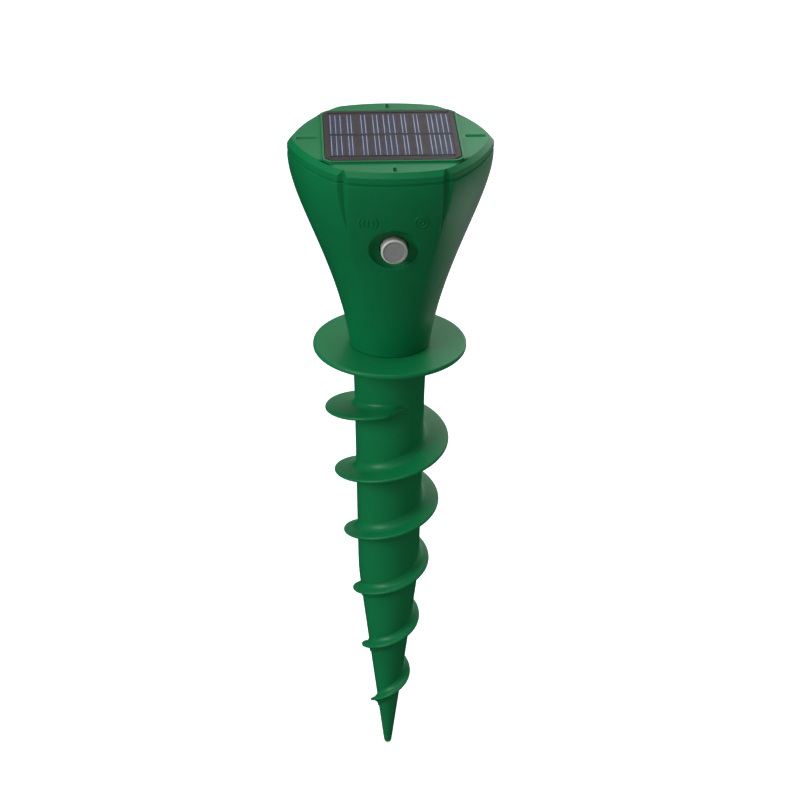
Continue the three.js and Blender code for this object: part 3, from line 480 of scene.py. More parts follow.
def dishSheet(outer, inner):
    # Rings from the outer window, over the dish, down the button's bore, round the guide and out to the
    # inner window. The dish is a bowl on a leaning floor: its side is a quarter of an ellipse from floor
    # to wall.
    lean = np.radians(dish["tilt"])
    floorOut = buttonFace - dish["proud"] - dish["depth"]
    x, up = outer[:, 0], (outer[:, 2] - buttonHeight) / np.cos(lean)
    around = np.arctan2(up / dish["stretch"], x)
    start = np.hypot(x, up / dish["stretch"])

    def onDish(reach, share):
        px = reach * np.cos(around)
        along = reach * np.sin(around) * dish["stretch"]
        pz = buttonHeight + along * np.cos(lean)
        floor = floorOut + along * np.sin(lean)
        return np.stack([px, -(floor + (wallFront(px, pz, 0) - floor) * share), pz], -1)

    rim, floorRadius, soft = dish["rimRadius"], dish["floorRadius"], dish["rimRound"]
    rings = [outer]
    clear = rim + soft * 2.2  # the wall is untouched from here outwards
    rings += [onDish(clear + (start - clear) * s, 1.0) for s in (0.8, 0.6, 0.4, 0.2, 0.0)]
    rings += [
        onDish(rim + soft * a, 1 - soft * b / dish["depth"])
        for a, b in ((1.4, 0.02), (0.7, 0.12), (0.25, 0.4))
    ]
    for climb in np.radians([84, 74, 64, 54, 44, 34, 24, 14, 0]):
        side = floorRadius + (rim - floorRadius) * np.sin(climb)
        rings.append(onDish(side, (1 - np.cos(climb)) * (1 - soft * 0.75 / dish["depth"])))
    bore, edge = dish["boreRadius"], dish["boreEdge"]
    floorRing = onDish(bore + edge, 0.0)
    rings.append(floorRing)

    def straight(radius, turn, out):
        return np.stack([radius * np.cos(turn), -out + 0 * turn, buttonHeight + radius * np.sin(turn)], -1)

    mouth = -floorRing[:, 1]
    rings += [straight(bore + edge * a, around, mouth - edge * b) for a, b in ((0.3, 0.3), (0, 1), (0, 2))]
    end, guide = dish["guideEnd"], dish["guideRadius"]
    rings += [straight(bore, around, mouth - 2 * edge + (end + 2 * edge - mouth) * s) for s in (0.5, 1)]
    target = np.arctan2(inner[:, 2] - buttonHeight, inner[:, 0])
    swing = (target - around + np.pi) % turnAround - np.pi
    rings += [straight(bore + (guide - bore) * s, around + swing * s, end) for s in (0.4, 0.9, 1)]
    px, pz = guide * np.cos(target), buttonHeight + guide * np.sin(target)
    foot = wallFront(px, pz, housing["wall"])
    rings += [np.stack([px, -(end + (foot - end) * s), pz], -1) for s in (0.3, 0.9, 1)]
    for share in (0.35, 0.7):
        qx, qz = px + (inner[:, 0] - px) * share, pz + (inner[:, 2] - pz) * share
        rings.append(np.stack([qx, -wallFront(qx, qz, housing["wall"]), qz], -1))
    rings.append(inner)
    sheet = np.stack(rings)
    sheet[:, -1] = sheet[:, 0]
    return sheet


def screwPosts(bore, radius, root, end, rootSoft):
    # A short tube round the axis of each cap screw, from its root to its free end.
    line = roundedLine([
        (bore, root, 0), (radius, root, rootSoft), (radius, end, 0.2), (bore, end, 0.1), (bore, root, 0),
    ], steps=3)
    posts = []
    for number in range(4):
        screwLow, screwHigh = nodeBox(f"cap_screw_{number + 1}")
        x, y = (screwLow + screwHigh)[:2] / 2
        posts.append(movedBy(turned(line, 32), x, y, 0))
    return posts


def buildHousing():
    # One sheet of rings runs up the outside, over the rim, down the inside, over shelf, pocket and ledge
    # and out through the neck bore to its start. A window is left in its outer and its inner side, and the
    # dish joins the two.
    size = housing
    none = (0,)
    window = size["windowHalfAngle"]
    plan = columnPlan([
        (0, none, none), (60, grooveLines, none), (120, grooveLines, none), (180, none, none),
        (240, grooveLines, none), (270 - window, none, none), (270 + window, none, none),
        (300, grooveLines, none),
    ])
    low, high = buttonHeight + size["windowLow"], buttonHeight + size["windowHigh"]
    bottom, top, edge, wall = housingLow[2], housingHigh[2], size["edge"], size["wall"]
    heights = np.concatenate([
        [bottom, bottom + 0.15, bottom + 0.5], np.linspace(bottom + 1.2, low, 38)[:-1],
        np.linspace(low, high, 25)[:-1], np.linspace(high, top - edge - 0.25, 17),
    ])
    rows = [(sideRadius(z), z, 0.0, 0.0) for z in heights]
    rows[0] = (sideRadius(bottom), bottom, 0.15, 0.0)
    outerLow = int(np.argmin(np.abs(heights - low)))
    outerHigh = int(np.argmin(np.abs(heights - high)))
    for turn in np.radians([0, 30, 60, 90]):
        rows.append((sideRadius(top), top - edge + edge * np.sin(turn), edge * (1 - np.cos(turn)), 0.0))
    rows += [(sideRadius(top), top, inset, 0.0) for inset in (edge + 0.2, 0.9, wall - 0.3)]
    shelf = flangeTop + size["shelf"]
    down = np.concatenate([
        [top, top - 0.3], np.linspace(top - 2, high, 8)[:-1], np.linspace(high, low, 25)[:-1],
        np.linspace(low, shelf + 0.1, 14), [shelf],
    ])
    first = len(rows)
    innerHigh = first + int(np.argmin(np.abs(down - high)))
    innerLow = first + int(np.argmin(np.abs(down - low)))
    rows += [(sideRadius(z), z, wall, 0.0) for z in down]
    pocket, ledgeTop = size["pocketRadius"], flangeTop + size["ledgeTop"]
    ledgeBottom, bore, neck = flangeTop + size["ledgeBottom"], size["ledgeBore"], size["neckBore"]
    inside = roundedLine([
        (sideRadius(shelf) - wall - 1, shelf, 0), (pocket, shelf, 0.3), (pocket, ledgeTop, 0.2),
        (bore, ledgeTop, 0.2), (bore, ledgeBottom, 0.2), (neck, ledgeBottom, 0.2), (neck, bottom, 0.3),
        (sideRadius(bottom) - 0.4, bottom, 0),
    ], steps=3)
    rows += [(radius, z, 0.0, 1.0) for radius, z in inside]
    rows.append(rows[0])
    sheet = headSheet(plan, rows)
    columns = np.round(np.degrees(plan[0]), 3)
    left = int(np.argmin(np.abs(columns - (270 - window))))
    right = int(np.argmin(np.abs(columns - (270 + window))))
    outer = windowRing(sheet, outerLow, outerHigh, left, right)
    inner = windowRing(sheet, innerLow, innerHigh, left, right)
    holes = [(0, outerLow, outerHigh, left, right), (0, innerHigh, innerLow, left, right)]
    postRoot, postEnd = housingTop - size["postRoot"], housingTop - size["postEnd"]
    posts = screwPosts(size["postBore"], size["postRadius"], postRoot, postEnd, 0.2)
    sheets = [sheet, dishSheet(outer, inner), *posts]
    return addPiece("housing_moulding", sheets, greenBody, ["housing_shell"], holes=holes)


housingPiece = buildHousing()
print("housing:", len(housingPiece.data.polygons), "faces")

# Top cap

cap = {
    "strip": 2.0, "bevelRise": 1.75, "bevelRun": 1.55, "rimRise": 0.75, "rimWidth": 0.8, "cornerCut": 2.5,
    "slip": 0.2, "pocketDepth": 2.2, "floor": 2.0, "skirtDepth": 3.2, "skirtThickness": 1.5, "gap": 0.3,
    "softEdge": 0.22, "rimSoft": 0.16, "postBore": 1.35, "postRadius": 3.0, "postDrop": 2.2,
}
slot = {
    "depth": 1.0, "sideWide": 1.9, "sideInset": 1.4, "sideLength": 7.0,
    "frontInset": 0.7, "frontLength": 3.6,
}
# Lines beside the middle of a front slot in mm, and how much of its depth each has; side slots are wider.
slotLines = np.array([-0.9, -0.64, -0.56, -0.44, -0.36, 0, 0.36, 0.44, 0.56, 0.64, 0.9])
slotCross = np.array([0, 0, 0.06, 0.94, 1, 1, 1, 0.94, 0.06, 0, 0])


def squareReach(angle, half, cut, soft=0.12):
    # Reach of a square with cut corners, its corners softened by a soft minimum of the three straight
    # sides.
    across, along = np.abs(np.cos(angle)), np.abs(np.sin(angle))
    sides = np.stack([across / half, along / half, (across + along) / (2 * half - cut)])
    power = half / soft
    return 1 / (np.sum(sides ** power, axis=0) ** (1 / power))


def buildCap():
    # One sheet runs from the cap's lower edge up the strip, over the bevel, across the flat top with its
    # slots, over the panel's frame and down to the middle of the pocket. A second one runs from the same
    # edge round the skirt to the middle of the underside.
    size = cap
    half = glazingHigh[0] + size["slip"]
    rimOut = half + size["rimWidth"]
    top = capHigh[2] - size["rimRise"]
    low = top - size["bevelRise"] - size["strip"]
    stripTop = low + size["strip"]
    corner = headForm["cornerRadius"]
    flat = corner - size["bevelRun"]
    cutAngle = np.degrees(np.arctan2(rimOut - size["cornerCut"], rimOut))
    none, turns = (0,), []
    for quarter in range(4):
        turns += [(90 * quarter + a, none, none) for a in (cutAngle, 90 - cutAngle)]
        turns.append((90 * quarter + 90, none, slotLines * (slot["sideWide"] if quarter % 2 else 1)))
    turns += [(angle, grooveLines, none) for angle in groovedCorners]
    plan = columnPlan(sorted(turns, key=lambda station: station[0]), spacing=1.6)
    edge = roundedLine([
        (corner - 3, low, 0), (corner, low, 0.14), (corner, stripTop, size["softEdge"]),
        (flat, top, size["softEdge"]), (flat - 3, top, 0),
    ], steps=4)[1:-1]
    side = headSheet(plan, [(radius, z, 0.0, 0.0) for radius, z in edge])
    angle, across, beside = plan
    nearSlot = np.zeros(len(angle))
    for quarter in range(1, 5):
        here = np.abs(angle - quarter * np.pi / 2) < 1e-6
        stretch = 1 if quarter % 2 else slot["sideWide"]
        nearSlot[here] = np.interp(beside[here] / stretch, slotLines, slotCross)
    # Rows across the flat top, from its six-sided edge to the frame: the same lines end the slots.
    wide = np.hypot(side[-1, :, 0], side[-1, :, 1])
    shift = across * 0.5 + beside
    sideward = np.cos(angle) ** 2
    deep = squareReach(angle + shift / rimOut, rimOut + 0.25, size["cornerCut"])
    frontOut = flat * (1 - headForm["flatness"])
    sideEnd, frontEnd = flat - slot["sideInset"], frontOut - slot["frontInset"]
    ends = []
    for reach, length, outer in (
        (sideEnd, slot["sideLength"], flat), (frontEnd, slot["frontLength"], frontOut),
    ):
        room = outer - rimOut - 0.25
        ends.append(((outer - reach) / room, min((outer - reach + length) / room, 0.97)))
    start = ends[0][0] * sideward + ends[1][0] * (1 - sideward)
    finish = ends[0][1] * sideward + ends[1][1] * (1 - sideward)
    room = wide - deep
    rows = []
    steps = [(start, -0.3, 0), (start, -0.08, 0), (start, 0, 0.06), (start, 0.12, 0.94), (start, 0.22, 1)]
    steps += [(start + (finish - start) * s, 0, 1) for s in (0.2, 0.4, 0.6, 0.8)]
    steps += [(finish, -0.22, 1), (finish, -0.12, 0.94), (finish, 0, 0.06), (finish, 0.08, 0)]
    for share, extra, depth in steps:
        reach = wide - room * share - extra
        turn = angle + shift / reach
        rows.append(np.stack([
            reach * np.cos(turn), reach * np.sin(turn), top - slot["depth"] * depth * nearSlot,
        ], -1))
    frameTop, pocketLow = capHigh[2], capHigh[2] - size["pocketDepth"]
    frameLine = roundedLine([
        (rimOut + 0.25, top, 0), (rimOut, top, 0.12), (rimOut, frameTop, size["rimSoft"]),
        (half, frameTop, size["rimSoft"]), (half, pocketLow, 0.2), (half - 2, pocketLow, 0),
    ], steps=3)
    turn = angle + shift / rimOut
    for square, z in frameLine:
        reach = squareReach(turn, square, size["cornerCut"] * (1 - (rimOut - square) * 0.14))
        rows.append(np.stack([reach * np.cos(turn), reach * np.sin(turn), z + 0 * reach], -1))
    rows.append(np.zeros((len(angle), 3)) + [0, 0, pocketLow])
    under = pocketLow - size["floor"]
    skirtLow = low - size["skirtDepth"]
    skirtInset = corner - (sideRadius(skirtLow) - housing["wall"] - size["gap"])
    skirtInner = skirtInset + size["skirtThickness"]
    inner = roundedLine([
        (0.4, low, 0), (skirtInset, low, 0.15), (skirtInset, skirtLow, 0.2), (skirtInner, skirtLow, 0.2),
        (skirtInner, under, 0.2), (skirtInset + 6, under, 0),
    ], steps=3)
    below = headSheet(plan, [(corner, z, inset, 0.0) for inset, z in inner[1:]])
    below = np.concatenate([side[:1], below, np.zeros((1, len(angle), 3)) + [0, 0, under]])
    flatRows = np.stack(rows)
    flatRows[:, -1] = flatRows[:, 0]
    posts = screwPosts(size["postBore"], size["postRadius"], under + 0.5, under - size["postDrop"], 0)
    sheets = [np.concatenate([side, flatRows]), below, *posts]
    return addPiece("cap_moulding", sheets, greenBody, ["top_cap"])


capPiece = buildCap()
print("cap:", len(capPiece.data.polygons), "faces")


capSeal = {"outer": 0.14, "middle": 1.5, "inner": 2.2}  # inwards from the head's side


def buildCapSeal():
    # A flat ring with soft edges that follows the head's outline, grooves included.
    low, high = sealLow[2], sealHigh[2]
    outer, middle, inner = capSeal["outer"], capSeal["middle"], capSeal["inner"]
    none = (0,)
    plan = columnPlan([(a, grooveLines if a in groovedCorners else none, none) for a in range(0, 360, 60)])
    line = roundedLine([
        (middle, low, 0), (inner, low, 0.12), (inner, high, 0.12), (outer, high, 0.1), (outer, low, 0.1),
        (middle, low, 0),
    ], steps=3)
    sheet = headSheet(plan, [(headForm["cornerRadius"], z, inset, 0.0) for inset, z in line])
    return addPiece("cap_seal_ring", [sheet], sealRubber, ["cap_seal"])


headPieces = [housingPiece, capPiece, buildCapSeal()]

# Ground stake

stake = {
    "noseRadius": 1.45, "tipRadius": 1.33, "coneSlope": 0.124, "shoulder": 79.0, "shoulderSoft": 3.5,
    "shaftSlope": 0.0174, "flangeThickness": 1.9, "flangeSoft": 0.75, "flare": 2.2, "flareFade": 4.5,
    "spigotRadius": 11.8, "boreTop": 8.3, "boreBottom": 7.2, "boreFloor": 62.0,
}
flight = {
    "pitch": 25.34, "topDrop": 25.8, "topRadius": 22.9, "endHeight": 14.0, "endRadius": 5.95,
    "startAngle": -50.0, "fullAngle": -180.0, "startSag": 5.3, "edge": 1.3, "root": 1.7, "drop": 0.25,
    "filletAbove": 3.6, "filletAboveOut": 2.8, "filletBelow": 2.4, "filletBelowOut": 1.8,
    "fadeAngle": 100.0, "sunk": 0.9, "growth": 1.8, "ramp": 1.5, "rampShare": 0.35, "sagShape": 3.8,
    "fullReach": 3.2, "leastHollow": 0.1,
}


def shaftRadius(height):
    # A cone up to the shoulder, a nearly straight shaft above it with the turn softened, and a flare that
    # grows exponentially into the flange.
    size = stake
    flare = size["flare"] * np.exp(-(flangeTop - size["flangeThickness"] - height) / size["flareFade"])
    above = height - size["shoulder"]
    softened = 0.5 * (above + np.sqrt(above ** 2 + size["shoulderSoft"] ** 2))
    cone = size["tipRadius"] + size["coneSlope"] * height
    return cone - (size["coneSlope"] - size["shaftSlope"]) * softened + flare


def buildShaft():
    # One profile turned round the axis: a quarter circle at the tip, the shaft, the flange, the spigot and
    # the bore inside it.
    size = stake
    under = flangeTop - size["flangeThickness"]
    out = stakeHigh[0]
    climb = np.radians(np.linspace(-90, 4, 9))
    nose = size["noseRadius"] * np.stack([np.cos(climb), 1 + np.sin(climb)], -1)
    heights = np.concatenate([
        np.linspace(3, 66, 12), np.linspace(70, 90, 9), np.linspace(96, under - 22, 8),
        under - 20 * np.linspace(1, 0.02, 22) ** 1.7,
    ])
    shaft = np.stack([shaftRadius(heights), heights], -1)
    root = shaftRadius(under)
    flange = roundedLine([
        (root + 0.5, under, 0), (out, under, size["flangeSoft"]), (out, flangeTop, size["flangeSoft"]),
        (size["spigotRadius"], flangeTop, 0.1), (size["spigotRadius"], stakeHigh[2], 0.4),
        (size["boreTop"], stakeHigh[2], 0.3), (size["boreBottom"], size["boreFloor"] + 16, 1),
        (size["boreBottom"] * 0.6, size["boreFloor"], 1), (0, size["boreFloor"], 0),
    ], steps=4)
    profile = np.concatenate([nose, shaft, flange])
    profile[0, 0] = 0
    return addPiece("stake_shaft", [turned(profile, 128)], greenStake, ["ground_stake"])


def flightCourse():
    # Angle, height, the shaft's radius, the blade's reach and how far it has grown, along the flight. It
    # climbs evenly, sags where it leaves the shaft, narrows in a straight line towards the tip and fades out
    # over its last fadeAngle degrees.
    size = flight
    top = flangeTop - size["topDrop"]
    endAngle = size["fullAngle"] - 360 * (top - size["endHeight"]) / size["pitch"]
    angle = np.linspace(size["startAngle"], endAngle, 680)
    grown = np.clip((size["startAngle"] - angle) / (size["startAngle"] - size["fullAngle"]), 0, 1)
    faded = np.clip((angle - endAngle) / size["fadeAngle"], 0, 1)
    height = top + size["pitch"] * (angle - size["fullAngle"]) / 360
    height = height - size["startSag"] * (1 - grown) ** size["sagShape"]
    ramp = np.clip(grown / size["rampShare"], 0, 1) ** size["ramp"]
    share = (1 - (1 - grown) ** size["growth"]) * faded * ramp
    straight = size["endRadius"] + (size["topRadius"] - size["endRadius"]) * (height - size["endHeight"]) / (
        top - size["endHeight"])
    shaft = shaftRadius(height)
    reach = (np.minimum(straight, size["topRadius"]) - shaft) * share
    return np.radians(angle), height, shaft, reach, grown


def buildFlight():
    # The section stands out from the shaft: a hollow fillet, the blade's upper face, its round edge, its
    # lower face and the lower fillet, closed inside the shaft. It shrinks into the shaft where the blade
    # starts and ends.
    size = flight
    angle, height, shaft, reach, grown = (value[:, None] for value in flightCourse())
    full = np.clip(reach / size["fullReach"], 0, 1)
    full = full * (2 - full)
    hollow = full * (size["leastHollow"] + (1 - size["leastHollow"]) * grown)
    above, below = size["filletAbove"] * hollow, size["filletBelow"] * hollow
    wideAbove, wideBelow = size["filletAboveOut"] * full, size["filletBelowOut"] * full
    root, edge = size["root"] / 2 * full, size["edge"] / 2 * full
    arc = np.radians(np.linspace(0, 90, 8))[None]
    face = np.linspace(0, 1, 5)[None, 1:-1]
    rim = np.radians(np.linspace(90, -90, 9))[None]
    tipAt = np.maximum(reach - edge, 0)
    aboveOut, belowOut = np.minimum(wideAbove, tipAt * 0.9), np.minimum(wideBelow, tipAt * 0.8)
    upOut, upHigh = aboveOut * (1 - np.cos(arc)), root + above * (1 - np.sin(arc))
    downOut, downLow = belowOut * (1 - np.cos(arc)), -root - below * (1 - np.sin(arc))
    faceOut, faceHigh = aboveOut + (tipAt - aboveOut) * face, root + (edge - root) * face
    backOut, backLow = belowOut + (tipAt - belowOut) * face, -root - (edge - root) * face
    rimOut, rimHigh = tipAt + edge * np.cos(rim), edge * np.sin(rim)
    sunk = -size["sunk"] - 0 * full
    out = np.concatenate([
        sunk, upOut - 0.04, faceOut, rimOut, backOut[:, ::-1], downOut[:, ::-1] - 0.04, sunk, sunk,
    ], axis=1)
    high = np.concatenate([
        root + above, upHigh, faceHigh, rimHigh, backLow[:, ::-1], downLow[:, ::-1],
        -root - below, root + above,
    ], axis=1)
    out = out - (1 - full) * 0.5
    radius = shaft + out
    sheet = np.stack([radius * np.cos(angle), radius * np.sin(angle), height + high - size["drop"]], -1)
    sheet[0], sheet[-1] = sheet[0].mean(axis=0), sheet[-1].mean(axis=0)
    sheet[:, -1] = sheet[:, 0]
    return addPiece("stake_flight", [sheet], greenStake, ["ground_stake"])


buildShaft()
flightPiece = buildFlight()
print("stake:", len(flightPiece.data.polygons), "faces in its flight")

# Push button

button = {
    "radius": 4.42, "flange": 6.0, "flangeThickness": 1.0, "chamfer": 0.5, "rimWidth": 0.3, "faceDrop": 0.2,
    # The last two entries place the painted highlight: paler past the first radius, palest within the second
    # depth behind the face.
    "paintedHighlightWithin": 3.85, "paintedHighlightBehind": 0.7,
}


def buttonFinish():
    # Grey plastic with a painted highlight: paler where the distance from the button's axis is large, on the
    # side and most of all on the rim of the face, standing in for light falling on them. Fine grain in bump
    # and roughness.
    material, nodes, links, shader = newMaterial("grey_button_painted_highlight")
    coords = nodes.new("ShaderNodeTexCoord")
    speck = noiseNode(nodes, links, coords, 2600, 4, 0.65)
    cloud = noiseNode(nodes, links, coords, 300, 3)
    parts = nodes.new("ShaderNodeSeparateXYZ")
    links.new(coords.outputs["Object"], parts.inputs["Vector"])
    flat = nodes.new("ShaderNodeCombineXYZ")
    links.new(parts.outputs["X"], flat.inputs["X"])
    links.new(parts.outputs["Z"], flat.inputs["Z"])
    away = nodes.new("ShaderNodeVectorMath")
    away.operation = "DISTANCE"
    links.new(flat.outputs["Vector"], away.inputs[0])
    away.inputs[1].default_value = (0, 0, buttonHeight * mm)
    # Mask of the painted highlight: 1 past that radius from the axis, on the rim and the side of the button.
    near, soft = button["paintedHighlightWithin"] * mm, 0.08 * mm
    paintedRimHighlight = rangeNode(nodes, links, away.outputs["Value"], 0, 1, near - soft, near + soft)
    front = (button["paintedHighlightBehind"] - buttonFace) * mm
    paintedHighlightNearFace = rangeNode(nodes, links, parts.outputs["Y"], 1, 0, front - soft, front + soft)
    cloudy = rangeNode(nodes, links, cloud.outputs["Fac"], 0, 1)
    grey = mixNode(
        nodes, links, cloudy.outputs["Result"], linearColour(122, 125, 123), linearColour(131, 134, 132),
    )
    # The painted highlight's colours: paler grey on the side, palest near the face.
    edge = mixNode(
        nodes, links, paintedHighlightNearFace.outputs["Result"], linearColour(164, 165, 158), linearColour(184, 185, 178),
    )
    links.new(mixNode(nodes, links, paintedRimHighlight.outputs["Result"], grey, edge), shader.inputs["Base Color"])
    rough = rangeNode(nodes, links, speck.outputs["Fac"], 0.36, 0.46)
    links.new(rough.outputs["Result"], shader.inputs["Roughness"])
    bump = nodes.new("ShaderNodeBump")
    bump.inputs["Strength"].default_value = 0.15
    bump.inputs["Distance"].default_value = 0.03 * mm
    links.new(speck.outputs["Fac"], bump.inputs["Height"])
    links.new(bump.outputs["Normal"], shader.inputs["Normal"])
    return material


def buildButton():
    # A profile turned round the button's axis: flange, side, chamfer, rim and sunk face.
    size = button
    back, face, radius = -buttonHigh[1], buttonFace, size["radius"]
    inner = radius - size["chamfer"] - size["rimWidth"]
    shoulder, floor = back + size["flangeThickness"], face - size["faceDrop"]
    line = roundedLine([
        (0, back, 0), (size["flange"], back, 0.15), (size["flange"], shoulder, 0.15),
        (radius, shoulder, 0.15), (radius, face - size["chamfer"], 0.3),
        (radius - size["chamfer"], face, 0.3), (inner, face, 0.15), (inner - 0.25, floor, 0.2),
        (1.5, floor, 0), (0.5, floor, 0), (0, floor, 0),
    ], steps=4)
    sheet = movedBy(facingFront(turned(line, 96)), 0, 0, buttonHeight)
    return addPiece("button_cap", [sheet], buttonFinish(), ["push_button"], body="button")


buildButton()

# Marks beside the button, raised from the wall

marks = {
    "rise": 0.2, "sunk": 0.3, "halfWidth": 0.3, "side": 8.8, "up": 11.2, "size": 2.2, "innerRing": 0.4,
    "barHalf": 0.7, "waves": ((0.75, 50), (1.35, 44)),  # each wave's radius, and half its angle
}


def wallRidge(x, z, closed):
    # A low round ridge that follows a line on the wall: its section is half an ellipse, sunk a little at
    # its foot.
    size = marks
    line = np.stack([x, z], -1)
    along = np.gradient(line, axis=0)
    if closed:
        along[0] = along[-1] = (line[1] - line[-2]) / 2
    along /= np.linalg.norm(along, axis=1, keepdims=True)
    beside = np.stack([-along[:, 1], along[:, 0]], -1)
    turn = np.radians(np.linspace(0, 360, 13))
    taper = np.ones(len(x))
    if not closed:
        steps = np.minimum(np.arange(len(x)), np.arange(len(x))[::-1]) / 3
        taper = np.sqrt(1 - np.clip(1 - steps, 0, 1) ** 2)
    wide = taper[:, None] * size["halfWidth"] * np.cos(turn)
    px = x[:, None] + beside[:, :1] * wide
    pz = z[:, None] + beside[:, 1:] * wide
    lift = taper[:, None] * (
        size["rise"] * np.maximum(np.sin(turn), 0) + size["sunk"] * np.minimum(np.sin(turn), 0)
    )
    sheet = np.stack([px, -(wallFront(px, pz, 0) + lift), pz], -1)
    sheet[:, -1] = sheet[:, 0]
    return sheet


def buildMarks():
    # Two rings on the right; on the left, a bar between two pairs of arcs.
    size = marks
    reach, height = size["size"], buttonHeight + size["up"]
    turn = np.radians(np.linspace(0, 360, 49))
    sheets = []
    for radius in (reach, reach * size["innerRing"]):
        ridge = wallRidge(size["side"] + radius * np.cos(turn), height + radius * np.sin(turn), True)
        ridge[-1] = ridge[0]
        sheets.append(ridge)
    bar = np.linspace(-reach, reach, 17)
    sheets.append(wallRidge(-size["side"] + 0 * bar, height + bar * size["barHalf"], False))
    for side in (-1, 1):
        for radius, half in size["waves"]:
            bend = np.radians(np.linspace(-half, half, 17))
            x = side * radius * reach * np.cos(bend) - size["side"]
            sheets.append(wallRidge(x, height + radius * reach * np.sin(bend), False))
    return addPiece("housing_marks", sheets, greenBody, ["housing_shell"])


buildMarks()

# Solar panel

panel = {
    "glazingSoft": 0.1, "wireHalfWidth": 0.13, "wireRise": 0.03, "cellPast": 0.3,
    "stripPast": 0.75, "stripBlur": 0.04,
    # How far the wires stop short of the near and the far edge of each row of cells.
    "rowEnds": {"solar_cells_front": (2.6, 0.1), "solar_cells_rear": (0.6, 2.2)},
    "wireGroups": [  # the first wire's place across, how many wires there are, and their pitch
        (-20.0, 3, 1.7), (-14.2, 2, 1.2), (-9.5, 2, 1.3), (-5.5, 2, 1.4), (-1.9, 3, 1.75), (4.2, 2, 1.2),
        (8.4, 2, 1.2), (13.1, 2, 1.4), (16.2, 3, 1.7),
    ],
}


def glassFinish():
    # Clear resin, dusty in places, over the cells.
    material, nodes, links, shader = newMaterial("panel_resin")
    coords = nodes.new("ShaderNodeTexCoord")
    dust = noiseNode(nodes, links, coords, 160, 4, 0.6)
    haze = rangeNode(nodes, links, dust.outputs["Fac"], 0.05, 0.09)
    rough = rangeNode(nodes, links, dust.outputs["Fac"], 0.3, 0.36)
    links.new(haze.outputs["Result"], shader.inputs["Alpha"])
    links.new(rough.outputs["Result"], shader.inputs["Roughness"])
    links.new(
        mixNode(nodes, links, haze.outputs["Result"], linearColour(70, 70, 74), linearColour(88, 88, 90)),
        shader.inputs["Base Color"],
    )
    shader.inputs["Specular IOR Level"].default_value = 0.1
    return material


def cellFinish():
    # Silicon strips: the blue attribute is 1 within a group of wires and 0 between the groups.
    material, nodes, links, shader = newMaterial("solar_silicon")
    coords = nodes.new("ShaderNodeTexCoord")
    blue = nodes.new("ShaderNodeAttribute")
    blue.attribute_name = "blue"
    crystal = nodes.new("ShaderNodeTexVoronoi")
    crystal.inputs["Scale"].default_value = 700
    links.new(coords.outputs["Object"], crystal.inputs["Vector"])
    flake = rangeNode(nodes, links, crystal.outputs["Distance"], 0, 1, 0.1, 0.9)
    brown = mixNode(
        nodes, links, flake.outputs["Result"], linearColour(66, 58, 58), linearColour(76, 68, 66),
    )
    cool = mixNode(
        nodes, links, flake.outputs["Result"], linearColour(56, 61, 80), linearColour(70, 76, 96),
    )
    links.new(mixNode(nodes, links, blue.outputs["Fac"], brown, cool), shader.inputs["Base Color"])
    rough = rangeNode(nodes, links, crystal.outputs["Distance"], 0.3, 0.45, 0, 1)
    links.new(rough.outputs["Result"], shader.inputs["Roughness"])
    shader.inputs["Specular IOR Level"].default_value = 0.05
    return material


def buildGlazing():
    # A plate with soft edges: its profile gives half a width and a height, and each point of the profile
    # goes round a square with cut corners.
    half, low, high, soft = glazingHigh[0], glazingLow[2], glazingHigh[2], panel["glazingSoft"]
    angle = np.unique(np.concatenate([
        np.radians(np.linspace(0, 360, 145)),
        *[np.radians(90 * q + np.array([41.2, 41.6, 42, 48, 48.4, 48.8])) for q in range(4)],
    ]))
    line = roundedLine([(0, low, 0), (half, low, soft / 2), (half, high, soft), (0, high, 0)], steps=4)
    reach = np.stack([squareReach(angle, max(r, 0.01), cap["cornerCut"] * r / half) for r, _ in line])
    height = line[:, 1:]
    sheet = np.stack([reach * np.cos(angle), reach * np.sin(angle), height + 0 * reach], -1)
    sheet[0], sheet[-1] = [0, 0, low], [0, 0, high]
    sheet[:, -1] = sheet[:, 0]
    return addPiece("panel_window", [sheet], glassFinish(), ["panel_glazing"])


def wirePlaces():
    # Where each wire stands across the panel.
    return np.concatenate([first + pitch * np.arange(count) for first, count, pitch in panel["wireGroups"]])


def buildCells(material):
    # Each row of cells is a thin plate whose columns stand where its strips change colour.
    past, blur = panel["stripPast"], panel["stripBlur"]
    edges = np.array([
        [first - past, first + pitch * (count - 1) + past] for first, count, pitch in panel["wireGroups"]
    ])
    for name, node in (("cells_front", "solar_cells_front"), ("cells_rear", "solar_cells_rear")):
        low, high = nodeBox(node)
        near, far = np.array(panel["rowEnds"][node]) - panel["cellPast"]
        low[1], high[1] = low[1] + max(near, 0), high[1] - max(far, 0)
        stripes = np.sort(np.concatenate([edges.ravel() - blur, edges.ravel() + blur]))
        x = np.concatenate([[low[0]], stripes[(stripes > low[0]) & (stripes < high[0])], [high[0]]])
        around = np.array([
            (low[1], low[2]), (high[1], low[2]), (high[1], high[2]), (low[1], high[2]), (low[1], low[2]),
        ])
        sheet = np.empty((len(x) + 2, 5, 3))
        sheet[1:-1, :, 0] = x[:, None]
        sheet[1:-1, :, 1:] = around[None]
        sheet[0] = [low[0], (low[1] + high[1]) / 2, (low[2] + high[2]) / 2]
        sheet[-1] = [high[0], (low[1] + high[1]) / 2, (low[2] + high[2]) / 2]
        piece = addPiece(name, [sheet], material, [node])
        piece.data.polygons.foreach_set("use_smooth", np.zeros(len(piece.data.polygons), bool))
        place = np.empty(len(piece.data.vertices) * 3)
        piece.data.vertices.foreach_get("co", place)
        across = place[::3] / mm
        inside = (across[:, None] > edges[:, 0]) & (across[:, None] < edges[:, 1])
        attribute = piece.data.attributes.new("blue", "FLOAT", "POINT")
        attribute.data.foreach_set("value", inside.any(axis=1).astype(np.float32))


